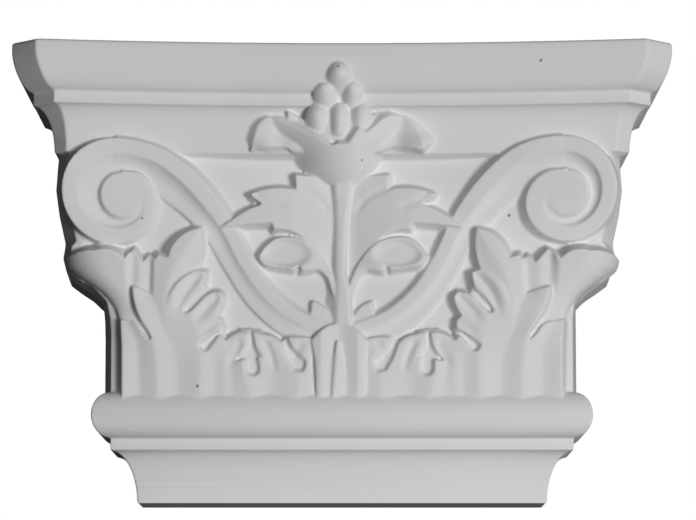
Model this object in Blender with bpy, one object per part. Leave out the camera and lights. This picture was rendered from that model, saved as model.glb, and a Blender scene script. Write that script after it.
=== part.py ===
"""A cast plaster pilaster capital, in one piece, with its flat back against the wall.

X runs to the right, Y back to the wall and Z up. The origin is under the middle of the block, on its underside.
The mouldings are lofted from their profiles. The carving is drawn on the face of the bell: across from the
middle line, up from the foot of the bell, and out from its face, in drawn millimetres that stretch with the bell.
"""

import math

import bmesh
import bpy
import numpy as np
from mathutils import Vector

MM = 0.001

# Driving sizes
SHAFT_WIDTH = 200 * MM
SHAFT_DEPTH = 41 * MM
COVE_HEIGHT = 25 * MM
COVE_STEP = 12.5 * MM
NECK_FILLET = 6 * MM
TORUS_HEIGHT = 21 * MM
TORUS_STEP = 9 * MM
BELL_HEIGHT = 115 * MM
BELL_FLARE = 5 * MM
SOFFIT_HEIGHT = 2.5 * MM
SOFFIT_STEP = 6.5 * MM
CAVETTO_HEIGHT = 22 * MM
CAVETTO_STEP = 10 * MM
FILLET_HEIGHT = 6.3 * MM
OVOLO_HEIGHT = 18.2 * MM
OVOLO_STEP = 9.8 * MM
BAND_HEIGHT = 5 * MM
TOP_ROUND = 1.5 * MM
HORN_REACH = 47.5 * MM
HORN_CUT = 12.6 * MM
HORN_TAPER = 28 * MM
ABACUS_BOW = 12.5 * MM
ARRIS_SLIP = 0.12

# How finely curves and carved faces are cut
ARC_STEPS = 5
BOW_STEPS = 10
CARVING_GRID = 5.2

# The bell as the carving was drawn on it, in millimetres
DRAWN_HALF_WIDTH = 112.5
DRAWN_HEIGHT = 115.0
DRAFT = 0.42
BEDDING = -7.0

# Worked out from the driving sizes
NECK_HALF = SHAFT_WIDTH / 2 + COVE_STEP
BELL_DEPTH = SHAFT_DEPTH + COVE_STEP
BELL_FOOT = COVE_HEIGHT + NECK_FILLET + TORUS_HEIGHT
ABACUS_FOOT = BELL_FOOT + BELL_HEIGHT
ABACUS_HALF = NECK_HALF + HORN_REACH
ABACUS_STEP = SOFFIT_STEP + CAVETTO_STEP + OVOLO_STEP
ARRIS_DEPTH = BELL_DEPTH + ABACUS_STEP + ABACUS_BOW
BACK = ARRIS_DEPTH / 2
ACROSS = NECK_HALF / DRAWN_HALF_WIDTH
UP = BELL_HEIGHT / DRAWN_HEIGHT


def clear_scene():
    for thing in list(bpy.data.objects):
        bpy.data.objects.remove(thing)


def ease(start, end, value):
    share = min(1.0, max(0.0, (value - start) / (end - start)))
    return share * share * (3 - 2 * share)


def carved(across, up, out, side=1):
    """World place of a point of the carving."""
    return Vector((side * across * ACROSS, BACK - BELL_DEPTH - out * MM, BELL_FOOT + up * UP))


def finish(bm, name, collection):
    bmesh.ops.remove_doubles(bm, verts=bm.verts[:], dist=0.01 * MM)
    bmesh.ops.recalc_face_normals(bm, faces=bm.faces[:])
    mesh = bpy.data.meshes.new(name)
    bm.to_mesh(mesh)
    bm.free()
    thing = bpy.data.objects.new(name, mesh)
    collection.objects.link(thing)
    return thing


def loft(bm, rings):
    """Closed skin through rings of as many points, with a cap at each end."""
    start = bm.faces.new([bm.verts.new(point) for point in rings[0]])
    foot = start.copy()
    foot_vertices = list(start.verts)
    face = start
    bm.faces.remove(foot)
    for ring in rings[1:]:
        face = bmesh.ops.extrude_discrete_faces(bm, faces=[face])["faces"][0]
        for vertex, point in zip(face.verts, ring):
            vertex.co = point
    bm.faces.new(list(reversed(foot_vertices)))


def plan_ring(half_front, half_back, depth, height, behind):
    """A plain rectangular plan, wider at the wall by its flare, that runs on behind the wall."""
    front = BACK - depth
    return [
        (-half_back, BACK, height),
        (-half_back, BACK + behind, height),
        (half_back, BACK + behind, height),
        (half_back, BACK, height),
        (half_front, front, height),
        (-half_front, front, height),
    ]


def base_profile():
    """(step out from the shaft, height) up the cove, the neck fillet and the torus."""
    points = []
    for i in range(ARC_STEPS + 2):
        share = math.sin(math.pi / 2 * i / (ARC_STEPS + 1))
        points.append((COVE_STEP * (1 - math.sqrt(1 - share * share)), COVE_HEIGHT * share))
    points.append((COVE_STEP, COVE_HEIGHT + NECK_FILLET))
    turns = 2 * ARC_STEPS
    for i in range(1, turns):
        angle = math.pi * i / turns
        step = COVE_STEP + TORUS_STEP * math.sin(angle)
        points.append((step, BELL_FOOT - TORUS_HEIGHT * (1 + math.cos(angle)) / 2))
    points.append((COVE_STEP - 1 * MM, BELL_FOOT))
    return points


def make_base(collection):
    bm = bmesh.new()
    half = SHAFT_WIDTH / 2
    loft(bm, [plan_ring(half + s, half + s, SHAFT_DEPTH + s, z, 3 * MM) for s, z in base_profile()])
    return finish(bm, "base_mould", collection)


def make_bell(collection):
    """The plain ground of the bell, sunk a little into the mouldings above and below."""
    bm = bmesh.new()
    sink = TORUS_HEIGHT / 3
    rings = []
    for height in (BELL_FOOT - sink, ABACUS_FOOT + SOFFIT_HEIGHT * 2):
        rings.append(plan_ring(NECK_HALF, NECK_HALF + BELL_FLARE, BELL_DEPTH, height, 4 * MM))
    loft(bm, rings)
    return finish(bm, "bell_ground", collection)


def abacus_profile():
    """(step in from the top's edge, height above the abacus foot), from the soffit up."""
    points = [(ABACUS_STEP + 1 * MM, -SOFFIT_HEIGHT * 0.15), (ABACUS_STEP, 0)]
    foot = SOFFIT_HEIGHT
    for i in range(ARC_STEPS + 1):
        angle = math.pi / 2 * i / ARC_STEPS
        step = OVOLO_STEP + CAVETTO_STEP * math.cos(angle)
        points.append((step, foot + CAVETTO_HEIGHT * math.sin(angle)))
    foot += CAVETTO_HEIGHT + FILLET_HEIGHT
    for i in range(ARC_STEPS + 1):
        angle = math.pi / 2 * (1 - i / ARC_STEPS)
        step = OVOLO_STEP * (1 - math.cos(angle)) ** 0.8
        points.append((step, foot + OVOLO_HEIGHT * (1 - math.sin(angle))))
    top = foot + OVOLO_HEIGHT + BAND_HEIGHT
    points += [(0, top - TOP_ROUND), (TOP_ROUND * 0.3, top - TOP_ROUND * 0.3), (TOP_ROUND, top)]
    return points


def abacus_ring(step, height):
    """The abacus in plan: bowed front, horns cut across at 45 degrees, straight sides back to the wall."""
    outer = ABACUS_HALF - step
    cut = HORN_CUT * (1 - (step / HORN_TAPER) ** 2)
    arris = outer - cut
    arris_depth = ARRIS_DEPTH - (1 + ARRIS_SLIP) * step
    bow = ABACUS_BOW - ARRIS_SLIP * step
    ring = [(-outer, BACK + 5 * MM, height), (-outer, BACK - arris_depth + cut, height)]
    for i in range(BOW_STEPS + 1):
        share = 2 * i / BOW_STEPS - 1
        depth = arris_depth - bow * (1 - share * share)
        ring.append((arris * share, BACK - depth, height))
    return [*ring, (outer, BACK - arris_depth + cut, height), (outer, BACK + 5 * MM, height)]


def make_abacus(collection):
    bm = bmesh.new()
    loft(bm, [abacus_ring(step, ABACUS_FOOT + height) for step, height in abacus_profile()])
    return finish(bm, "abacus_mould", collection)


def arc(start, end, bulge, spacing):
    """Points from start up to, not with, end. Bulge is the arc's rise over its chord, to the left of travel."""
    chord = math.dist(start, end)
    count = max(1, round(chord * (1 + 2 * bulge * bulge) / spacing))
    points = []
    for i in range(count):
        share = i / count
        rise = 4 * bulge * share * (1 - share)
        points.append(
            (
                start[0] + (end[0] - start[0]) * share - (end[1] - start[1]) * rise,
                start[1] + (end[1] - start[1]) * share + (end[0] - start[0]) * rise,
            )
        )
    return points


def outline(corners, spacing):
    points = []
    for i, corner in enumerate(corners):
        after = corners[(i + 1) % len(corners)]
        bulge = corner[2] if len(corner) > 2 else 0
        points += arc(corner[:2], after[:2], bulge, spacing)
    return points


def area(points):
    turned = points[1:] + points[:1]
    return sum(a[0] * b[1] - b[0] * a[1] for a, b in zip(points, turned)) / 2


def room(point, direction, points):
    """How far a ray runs from a point of the outline before it meets the outline again."""
    nearest = 1000.0
    for i, a in enumerate(points):
        b = points[(i + 1) % len(points)]
        ex, ey = b[0] - a[0], b[1] - a[1]
        cross = direction[0] * ey - direction[1] * ex
        if abs(cross) < 1e-9:
            continue
        ax, ay = a[0] - point[0], a[1] - point[1]
        along = (ax * ey - ay * ex) / cross
        share = (ax * direction[1] - ay * direction[0]) / cross
        if along > 0.05 and -0.001 <= share <= 1.001:
            nearest = min(nearest, along)
    return nearest


def walk(edges):
    """The vertices of one closed run of edges, in order."""
    links = {}
    for edge in edges:
        a, b = edge.verts
        links.setdefault(a, []).append(b)
        links.setdefault(b, []).append(a)
    start = edges[0].verts[0]
    order = [start]
    before, here = None, start
    while True:
        a, b = links[here]
        following = b if a is before else a
        if following is start:
            return order
        order.append(following)
        before, here = here, following


def side_steps(order, height, ground, points):
    """How far each vertex of the rim moves out, so that the sides slope as a mould needs."""
    moves = []
    count = len(order)
    for i, vertex in enumerate(order):
        here = vertex.co
        before, after = order[i - 1].co, order[(i + 1) % count].co
        first = (here - before).to_2d().normalized()
        second = (after - here).to_2d().normalized()
        normal = Vector((first.y + second.y, -first.x - second.x))
        if normal.length < 0.2:
            normal = Vector((first.y, -first.x))
        normal.normalize()
        spread = min(1.35, 1 / max(0.3, normal.dot(Vector((first.y, -first.x)))))
        wanted = DRAFT * max(0.5, height(here.x, here.y) - ground) * spread
        free = room((here.x, here.y), (normal.x, normal.y), points)
        moves.append(normal * min(wanted, 0.38 * free))
    return untangled(order, moves)


def untangled(order, moves):
    """The same moves, shortened in the notches until the moved rim no longer passes or crosses itself."""
    here = np.array([vertex.co.to_2d() for vertex in order])
    step = np.array(moves)
    edge = np.roll(here, -1, 0) - here
    index = np.arange(len(here))
    apart = np.abs(index[:, None] - index[None, :])
    apart = (apart > 1) & (apart < len(here) - 1)
    for _ in range(80):
        place = here + 1.15 * step
        run = np.roll(place, -1, 0) - place
        passed = (edge * run).sum(1) < 0.1 * (edge * edge).sum(1)
        between = place[None, :] - place[:, None]
        turn = run[:, None, 0] * run[None, :, 1] - run[:, None, 1] * run[None, :, 0]
        turn = np.where(np.abs(turn) < 1e-9, 1e-9, turn)
        first = (between[..., 0] * run[None, :, 1] - between[..., 1] * run[None, :, 0]) / turn
        second = (between[..., 0] * run[:, None, 1] - between[..., 1] * run[:, None, 0]) / turn
        crossed = apart & (first > -0.02) & (first < 1.02) & (second > -0.02) & (second < 1.02)
        shorten = set()
        for i in np.flatnonzero(passed):
            j = (i + 1) % len(here)
            shorten.add(i if np.hypot(*step[i]) > np.hypot(*step[j]) else j)
        for i in np.flatnonzero(crossed.any(1)):
            shorten |= {i, (i + 1) % len(here)}
        if not shorten:
            break
        step[sorted(shorten)] *= 0.8
    return [Vector(move) for move in step]


def plate(name, corners, height, ground, collection, side=1, bedding=-7.0, grid=CARVING_GRID):
    """A raised piece of carving: its outline, a face that follows height(across, up), and sloping sides."""
    points = outline(corners, grid * 0.8)
    if area(points) < 0:
        points.reverse()
    bm = bmesh.new()
    bm.faces.new([bm.verts.new((x, y, 0)) for x, y in points])
    for axis in (0, 1):
        low = min(p[axis] for p in points)
        high = max(p[axis] for p in points)
        for i in range(1, math.ceil((high - low) / grid)):
            place, normal = [0, 0, 0], [0, 0, 0]
            place[axis] = low + (high - low) * i / math.ceil((high - low) / grid)
            normal[axis] = 1
            geometry = bm.verts[:] + bm.edges[:] + bm.faces[:]
            bmesh.ops.bisect_plane(bm, geom=geometry, plane_co=place, plane_no=normal, dist=0.02)
    bmesh.ops.remove_doubles(bm, verts=bm.verts[:], dist=0.25)
    bmesh.ops.triangulate(bm, faces=bm.faces[:])
    order = walk([edge for edge in bm.edges if edge.is_boundary])
    if area([(v.co.x, v.co.y) for v in order]) < 0:
        order.reverse()
    moves = side_steps(order, height, ground, points)
    for vertex in bm.verts:
        vertex.co.z = height(vertex.co.x, vertex.co.y)
    rings = [order]
    for out in (ground - 1.0, bedding):
        ring = []
        for vertex, move in zip(order, moves):
            drop = vertex.co.z - ground
            reach = min(1.15, (drop + 1.0) / drop) if drop > 1 else 1.0
            flat = vertex.co.to_2d() + move * reach
            ring.append(bm.verts.new((flat.x, flat.y, min(out, vertex.co.z - 0.5))))
        rings.append(ring)
    for upper, lower in zip(rings, rings[1:]):
        for i in range(len(upper)):
            j = (i + 1) % len(upper)
            bm.faces.new((upper[i], lower[i], lower[j], upper[j]))
    bm.faces.new(list(reversed(rings[-1])))
    for vertex in bm.verts:
        vertex.co = carved(*vertex.co, side)
    return finish(bm, name, collection)


# The corner leaf and the small leaf beside it, drawn for the right side from the middle outwards
FOLIAGE = [
    (12.0, -3.0),
    (13.5, 20.0),
    (15.2, 24.6, 0.06),
    (26.4, 24.8, 0.1),
    (20.4, 14.8, 0.15),
    (19.9, 11.0, -0.35),
    (25.0, 10.3, 0.0),
    (26.8, 15.0, -0.05),
    (29.8, 26.4, 0.1),
    (39.6, 29.4),
    (41.2, 28.2, 0.1),
    (52.6, 27.4),
    (54.4, 24.4),
    (57.6, 27.6, -0.08),
    (62.4, 21.4, -0.3),
    (66.6, 20.4, -0.4),
    (66.4, 24.6, 0.1),
    (57.2, 31.4, 0.1),
    (56.2, 35.6),
    (59.4, 37.0, 0.1),
    (55.6, 47.2, 0.4),
    (60.6, 49.6, 0.12),
    (72.2, 39.6, -0.5),
    (72.8, 42.6, 0.1),
    (64.2, 54.6, 0.15),
    (65.3, 59.2),
    (68.9, 60.0, 0.12),
    (66.2, 80.0, 0.12),
    (80.2, 68.4),
    (80.7, 65.4),
    (86.0, 66.6),
    (87.1, 64.6),
    (90.6, 66.9),
    (94.2, 63.4),
    (99.6, 69.6, 0.05),
    (105.4, 64.4, 0.16),
    (118.0, 68.8, 0.1),
    (130.2, 65.2, -0.05),
    (110.4, 42.8, -0.05),
    (106.8, 24.0),
    (106.2, -3.0),
]

# (start, end, bulge, step up on the left, step down on the right, reach) of the folds across the foliage
FOLDS = [
    ((66.4, 26.0), (86.0, 44.0), -0.1, 1.0, 1.4, 5.0),
    ((62.4, 49.0), (80.0, 30.0), 0.16, 1.2, 1.6, 4.0),
    ((68.4, 60.0), (83.0, 36.0), 0.16, 1.2, 1.6, 4.0),
    ((68.0, 76.0), (84.0, 42.0), 0.16, 1.2, 1.6, 5.0),
    ((99.0, 64.0), (99.0, 36.0), 0.1, 1.4, 1.6, 5.0),
    ((108.0, 36.6), (90.0, 24.0), -0.22, 2.0, 1.6, 6.0),
]


def fold_height(x, y, fold):
    """A crease: the face steps up on one side of an arc and down on the other, and runs out again."""
    start, end, bulge, raised, sunk, reach = fold
    chord = math.dist(start, end)
    ux, uy = (end[0] - start[0]) / chord, (end[1] - start[1]) / chord
    along = (x - start[0]) * ux + (y - start[1]) * uy
    across = -(x - start[0]) * uy + (y - start[1]) * ux
    share = along / chord
    if not 0 < share < 1:
        return 0.0
    across -= 4 * bulge * share * (1 - share) * chord
    fade = ease(0, 0.15, share) * ease(1, 0.6, share)
    if across > 0:
        return raised * fade * math.exp(-across / reach)
    return -sunk * fade * math.exp(across / reach)


def foliage_height(x, y):
    """The foliage stands a few millimetres proud, and its corner tip curls forward under the volute."""
    flare = ease(34, 68, y) ** 1.6
    tip = 13.0 * flare * ease(88, 106, x)
    lobes = 2.0 * ease(20, 60, y) * ease(100, 80, x)
    face = 4.6 + 1.6 * ease(0, 26, y) + tip + lobes
    face += 0.9 * math.cos((x - 98) * math.tau / 17) * ease(30, 0, y) * ease(50, 58, x)
    face += sum(fold_height(x, y, fold) for fold in FOLDS)
    return face - 4.0 * ease(66, 69.5, y) * ease(104, 112, x)


CAULINE = [
    (-3.0, 110.0),
    (23.9, 106.0),
    (23.7, 99.5, 0.08),
    (46.5, 96.5),
    (40.1, 92.1),
    (58.4, 81.3),
    (34.1, 83.7),
    (33.0, 80.6, -0.12),
    (16.8, 74.2, -0.05),
    (6.0, 56.0),
    (3.0, 44.0),
    (-3.0, 44.0),
]

CURL = [
    (40.4, 66.8, -0.1),
    (31.5, 75.8, -0.12),
    (13.6, 70.7, -0.07),
    (3.2, 51.0),
    (-2.0, 42.0),
    (2.6, 42.0),
    (5.8, 53.5, 0.13),
    (12.2, 61.2),
    (19.5, 60.1),
    (20.6, 63.4),
    (24.0, 60.8),
    (37.0, 62.8, -0.12),
]


def cauline_height(x, y):
    """Low beside the stem and lifting towards the points."""
    return 3.2 + 3.0 * ease(4, 24, x) + 0.8 * ease(24, 50, x)


def curl_height(x, y):
    """A small dished leaf whose rim stands up."""
    dish = ((x - 27) / 13.5) ** 2 + ((y - 68.5) / 7.5) ** 2
    return 4.4 + 2.2 * ease(0.4, 1.1, dish) * ease(6, 20, x)


BRACT = [(3.0, 34.0), (7.0, 40.0, 0.1), (14.6, 45.2), (15.4, 36.6, 0.05), (6.0, 31.0)]


def bract_height(x, y):
    return 4.2


TONGUE = [(-12.1, -4.0), (-12.9, 16.0), (-14.6, 26.0, 0.32), (11.6, 25.4), (11.0, 16.0), (10.9, -4.0)]
LANCET = [(-5.7, -2.6), (-4.6, 14.0, 0.03), (-2.4, 25.2, 0.03), (1.2, 14.0), (3.4, -2.6)]
TONGUE_SHIFT = -1.2


def tongue_height(x, y):
    foot = 1.4 * ease(6, -3, y)
    return 6.6 + 1.4 * math.cos(min(1.0, abs(x - TONGUE_SHIFT) / 13) * math.pi / 2) - foot


def lancet_height(x, y):
    half = 0.9 + 3.8 * ease(27, -2, y)
    foot = 3.4 * ease(6, -2, y)
    return 7.7 + 2.4 * max(0.0, 1 - abs(x - TONGUE_SHIFT) / half) - foot


FLOWER = [
    (3.0, 119.9),
    (8.2, 127.6),
    (11.2, 125.0),
    (20.0, 132.8),
    (23.6, 134.6),
    (30.5, 134.5, 0.1),
    (37.6, 126.0, 0.05),
    (40.0, 116.9, -0.06),
    (27.0, 120.4, -0.2),
    (19.6, 118.0),
    (19.0, 114.6),
    (14.2, 108.8),
    (4.0, 101.8),
    (-6.8, 101.8),
    (-15.0, 106.8),
    (-21.2, 111.4),
    (-23.6, 116.4, -0.18),
    (-31.0, 120.4, -0.06),
    (-44.6, 118.0),
    (-41.3, 129.2, 0.15),
    (-35.0, 133.8, 0.06),
    (-28.6, 131.8),
    (-14.0, 124.9),
    (-6.2, 119.7),
]


def moulding(across, up):
    """How far the soffit, cavetto, fillet and ovolo stand out from the bell, in the carving's own measure."""
    profile = abacus_profile()
    height = BELL_FOOT + up * UP - ABACUS_FOOT
    if height < 0:
        return 0.0
    step = float(np.interp(height, [point[1] for point in profile], [point[0] for point in profile]))
    reach = ABACUS_HALF - step - HORN_CUT
    bow = (ABACUS_BOW - ARRIS_SLIP * step) * (1 - (across * ACROSS / reach) ** 2)
    return (ARRIS_DEPTH - (1 + ARRIS_SLIP) * step - bow - BELL_DEPTH) / MM


def flower_height(x, y):
    """A cup that swells forward to its lip, and a petal each side that lies close to the moulding."""
    half = float(np.interp(y, [101, 109, 119, 127], [5.5, 17.6, 22.0, 28.0]))
    middle = float(np.interp(y, [101, 108, 116, 123], [5.0, 12.4, 18.8, 22.0]))
    edge = float(np.interp(y, [101, 114, 122, 135], [2.0, 2.4, 8.4, 13.0]))
    cup = edge + (middle - edge) * (1 - min(1.0, abs(x - 0.5) / half) ** 2.2)
    return max(cup, moulding(x, y) + 3.0 * ease(112, 118, y))


def berry_outline(centre, radius, tail):
    """A drop: round above, drawn down to its tail."""
    points = []
    count = 12
    run = centre[1] - tail[1]
    for i in range(count):
        angle = math.tau * i / count
        x, y = math.sin(angle), math.cos(angle)
        down = max(0.0, -y)
        slide = (tail[0] - centre[0]) * down * down
        narrow = 1 - 0.62 * down * down
        points.append(
            (centre[0] + radius * x * narrow + slide, centre[1] + (radius * y if y > 0 else run * y))
        )
    return points


# Middle, radius and tail of each berry, across and up, and how far out its edge lies
BERRIES = [
    ((-1.4, 152.5), 5.8, (-2.0, 137.0), 23.6),
    ((-8.5, 143.5), 5.6, (-6.3, 131.0), 17.6),
    ((5.2, 143.7), 5.1, (4.0, 131.0), 17.6),
    ((-11.9, 133.4), 5.6, (-9.0, 120.0), 15.8),
    ((-1.3, 132.6), 5.0, (-1.3, 120.0), 16.4),
    ((9.2, 133.4), 5.4, (7.4, 120.0), 15.8),
]
BERRY_RISE = 5.0


def make_berries(collection):
    for i, (centre, radius, tail, out) in enumerate(BERRIES):

        def height(x, y, centre=centre, radius=radius, tail=tail, out=out):
            run = radius if y > centre[1] else centre[1] - tail[1]
            share = ((x - centre[0]) / radius) ** 2 + ((y - centre[1]) / run) ** 2
            return out + BERRY_RISE * math.sqrt(max(0.0, 1 - min(1.0, share)))

        corners = berry_outline(centre, radius, tail)
        plate(f"berry_{i + 1}", corners, height, out - 6, collection, 1, 2.0 + i * 0.7, CARVING_GRID * 0.7)


# The volute on the right, and the scroll that runs down from it to the foot of the stem
VOLUTE = (108.1, 95.9)
RIM = 25.6
EYE = 10.2
RIM_OUT = 15.0
VOLUTE_STEPS = 30


def rim_radius(turn):
    """Radius of the volute's edge after turning clockwise from the top, in degrees."""
    return EYE + (RIM - EYE) * (1 - ease(150, 345, turn)) - 1.2 * ease(60, 200, turn)


def volute_section(turn):
    """(radius, out) points across the volute, from inside the eye to outside the rim."""
    edge = rim_radius(turn)
    sunk = 3.6 * ease(275, 110, turn)
    rim_out = RIM_OUT - 4.0 * ease(180, 300, turn)
    flat = edge - 6.8 * ease(300, 120, turn)
    floor = max(EYE + 1.5, flat - 3.4)
    ground = 6.0
    spread = DRAFT * (rim_out - ground)
    return [
        (EYE - 3.0, BEDDING),
        (EYE - 3.0, rim_out - sunk * 0.4),
        (EYE + 0.4, rim_out - sunk * 0.8),
        (floor, rim_out - sunk),
        (max(flat, floor + 0.4), rim_out),
        (max(edge, floor + 0.8), rim_out),
        (max(edge, floor + 0.8) + spread, ground),
        (max(edge, floor + 0.8) + spread, BEDDING),
    ]


def polar(turn, radius, out, side):
    angle = math.radians(turn)
    return carved(VOLUTE[0] + radius * math.sin(angle), VOLUTE[1] + radius * math.cos(angle), out, side)


def make_volute(collection, side):
    bm = bmesh.new()
    rings = []
    for i in range(VOLUTE_STEPS + 1):
        turn = 5 + 355 * i / VOLUTE_STEPS
        rings.append([polar(turn, radius, out, side) for radius, out in volute_section(turn)])
    loft(bm, rings)
    finish(bm, f"volute_{side}", collection)
    bm = bmesh.new()
    rings = []
    for radius, out in ((EYE + 2.5, BEDDING), (EYE + 2.0, 10.0), (EYE, RIM_OUT - 2.5), (EYE - 1.0, RIM_OUT - 2.0)):
        rings.append([polar(15 * i, radius, out, side) for i in range(24)])
    loft(bm, rings)
    finish(bm, f"eye_{side}", collection)


# The upper edge of the scroll from the foot of the stem to the top of the volute
SCROLL_EDGE = [
    (4.0, 33.0),
    (21.4, 40.0),
    (34.7, 51.2),
    (44.7, 65.9),
    (54.0, 84.5),
    (66.0, 101.0),
    (82.9, 115.2),
    (98.0, 120.8),
    (113.0, 121.4),
]
SCROLL_STEPS = 22


def spline(points, share):
    """A smooth curve through the points, from 0 to 1."""
    span = share * (len(points) - 1)
    i = min(int(span), len(points) - 2)
    t = span - i
    p1, p2 = Vector(points[i]), Vector(points[i + 1])
    p0 = Vector(points[i - 1]) if i else p1 * 2 - p2
    p3 = Vector(points[i + 2]) if i + 2 < len(points) else p2 * 2 - p1
    return (
        p1 * 2 + (p2 - p0) * t + (p0 * 2 - p1 * 5 + p2 * 4 - p3) * t * t + (p1 * 3 - p0 - p2 * 3 + p3) * t**3
    ) / 2


def scroll_section(share):
    """(distance from the upper edge, out) across the scroll: fascia, hollow, floor and lower rim."""
    size = 12.4 + 7.0 * ease(0.3, 0.78, share)
    high = 6.5 + (RIM_OUT - 6.5) * ease(0.3, 0.85, share)
    low = 3.4 + 3.0 * ease(0.4, 0.85, share)
    hollow = low + (high - low) * 0.35 - 1.0
    return [
        (-DRAFT * (high + 1), -1.0),
        (0.0, high),
        (size * 0.40, high - 0.4),
        (size * 0.56, hollow),
        (size * 0.84, low),
        (size * 0.90, low),
        (size, 0.0),
        (size, BEDDING),
        (-DRAFT * (high + 1), BEDDING),
    ]


def make_scroll(collection, side):
    bm = bmesh.new()
    rings = []
    for i in range(SCROLL_STEPS + 1):
        share = i / SCROLL_STEPS
        here = spline(SCROLL_EDGE, share)
        ahead = spline(SCROLL_EDGE, min(1.0, share + 0.01)) - spline(SCROLL_EDGE, max(0.0, share - 0.01))
        ahead.normalize()
        down = Vector((ahead.y, -ahead.x))
        rings.append([carved(*(here + down * t), out, side) for t, out in scroll_section(share)])
    loft(bm, rings)
    finish(bm, f"scroll_{side}", collection)


def make_stem(collection):
    """A round stem that swells up into the flower."""
    bm = bmesh.new()
    rings = []
    for up in (26.0, 36.0, 48.0, 62.0, 76.0, 90.0, 104.0):
        half = 3.2 + 2.4 * ease(60, 102, up) + 0.4 * ease(44, 30, up)
        out = 5.4 + 1.6 * ease(94, 104, up)
        ring = []
        for i in range(9):
            angle = math.pi * i / 8
            ring.append(carved(-1.2 - (half + 0.6) * math.cos(angle), up, -1 + (out + 1) * math.sin(angle)))
        ring.append(carved(-1.2 + half + 0.6, up, BEDDING))
        ring.append(carved(-1.2 - half - 0.6, up, BEDDING))
        rings.append(ring)
    loft(bm, rings)
    return finish(bm, "stem", collection)


# (up, front edge across, front edge out, wall edge across) of the plain side behind the corner leaf and volute
CHEEK = [
    (-4.0, 112.3, -0.2, 117.3),
    (28.0, 112.3, 0.4, 118.0),
    (37.0, 113.4, 1.6, 119.6),
    (45.0, 115.6, 4.5, 123.5),
    (52.0, 120.0, 8.5, 130.0),
    (57.0, 123.0, 11.0, 135.5),
    (62.0, 127.0, 14.5, 137.6),
    (68.0, 131.0, 16.5, 137.8),
    (72.4, 129.5, 16.0, 135.2),
    (75.0, 128.0, 12.0, 136.0),
    (88.0, 131.0, 14.0, 138.6),
    (100.0, 132.5, 14.0, 140.2),
    (112.0, 131.5, 12.0, 139.0),
    (118.0, 131.0, 9.0, 138.4),
]


def make_cheek(collection, side):
    bm = bmesh.new()
    rings = []
    wall = -BELL_DEPTH / MM
    for up, front, out, edge in CHEEK:
        inner = DRAWN_HALF_WIDTH - 14
        rings.append(
            [
                carved(inner, up, wall - 6, side),
                carved(inner, up, out - 1.5, side),
                carved(front - 4, up, out, side),
                carved(front, up, out - 1.0, side),
                carved(edge, up, wall, side),
                carved(edge, up, wall - 6, side),
            ]
        )
    loft(bm, rings)
    return finish(bm, f"cheek_{side}", collection)


def make_wall(collection):
    """The block that cuts the back flat."""
    bm = bmesh.new()
    reach = ABACUS_HALF * 1.3
    rings = []
    for height in (-20 * MM, (ABACUS_FOOT + OVOLO_HEIGHT + CAVETTO_HEIGHT) * 1.5):
        rings.append(
            [
                (-reach, BACK, height),
                (-reach, BACK + 30 * MM, height),
                (reach, BACK + 30 * MM, height),
                (reach, BACK, height),
            ]
        )
    loft(bm, rings)
    return finish(bm, "wall_cutter", collection)


def plaster():
    material = bpy.data.materials.new("plaster")
    material.use_nodes = True
    shader = material.node_tree.nodes["Principled BSDF"]
    shader.inputs["Base Color"].default_value = (0.78, 0.78, 0.77, 1)
    shader.inputs["Roughness"].default_value = 0.85
    shader.inputs["Metallic"].default_value = 0.0
    return material


def make_capital():
    clear_scene()
    scene = bpy.context.scene.collection
    parts = bpy.data.collections.new("pilaster_capital")
    carving = bpy.data.collections.new("carving")
    scene.children.link(parts)
    scene.children.link(carving)
    cutters = bpy.data.collections.new("cutters")
    scene.children.link(cutters)
    capital = make_bell(parts)
    capital.name = "capital"
    capital.data.name = "capital"
    make_base(carving)
    make_abacus(carving)
    for side in (1, -1):
        make_cheek(carving, side)
        make_volute(carving, side)
        make_scroll(carving, side)
        plate(f"foliage_{side}", FOLIAGE, foliage_height, 0.0, carving, side, -9.4 - 0.4 * side)
        plate(f"cauline_{side}", CAULINE, cauline_height, 0.0, carving, side, -6.0 - 0.4 * side)
        plate(f"curl_{side}", CURL, curl_height, 0.0, carving, side, -8.0 - 0.4 * side)
        plate(f"bract_{side}", BRACT, bract_height, 0.0, carving, side, -5.0 - 0.4 * side)
    plate("tongue", TONGUE, tongue_height, 0.0, carving, 1, -4.0)
    plate("lancet", LANCET, lancet_height, 6.0, carving, 1, -3.0)
    plate("flower", FLOWER, flower_height, 0.0, carving, 1, -2.0)
    make_stem(carving)
    make_berries(carving)
    wall = make_wall(cutters)
    for thing in [*carving.objects, wall]:
        thing.hide_render = True
        thing.display_type = "WIRE"
    join = capital.modifiers.new("carving", "BOOLEAN")
    join.operation = "UNION"
    join.operand_type = "COLLECTION"
    join.collection = carving
    join.solver = "EXACT"
    trim = capital.modifiers.new("flat back", "BOOLEAN")
    trim.operation = "DIFFERENCE"
    trim.object = wall
    trim.solver = "EXACT"
    capital.data.materials.append(plaster())


make_capital()
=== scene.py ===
"""The visual model of a cast plaster pilaster capital, with its stage, laid out as an add-on.

X runs to the right, Y back to the wall and Z up. The carving is drawn on the face of the bell in millimetres:
across from the middle line, up from the foot of the bell, and out from its face.
"""

import math

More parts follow.
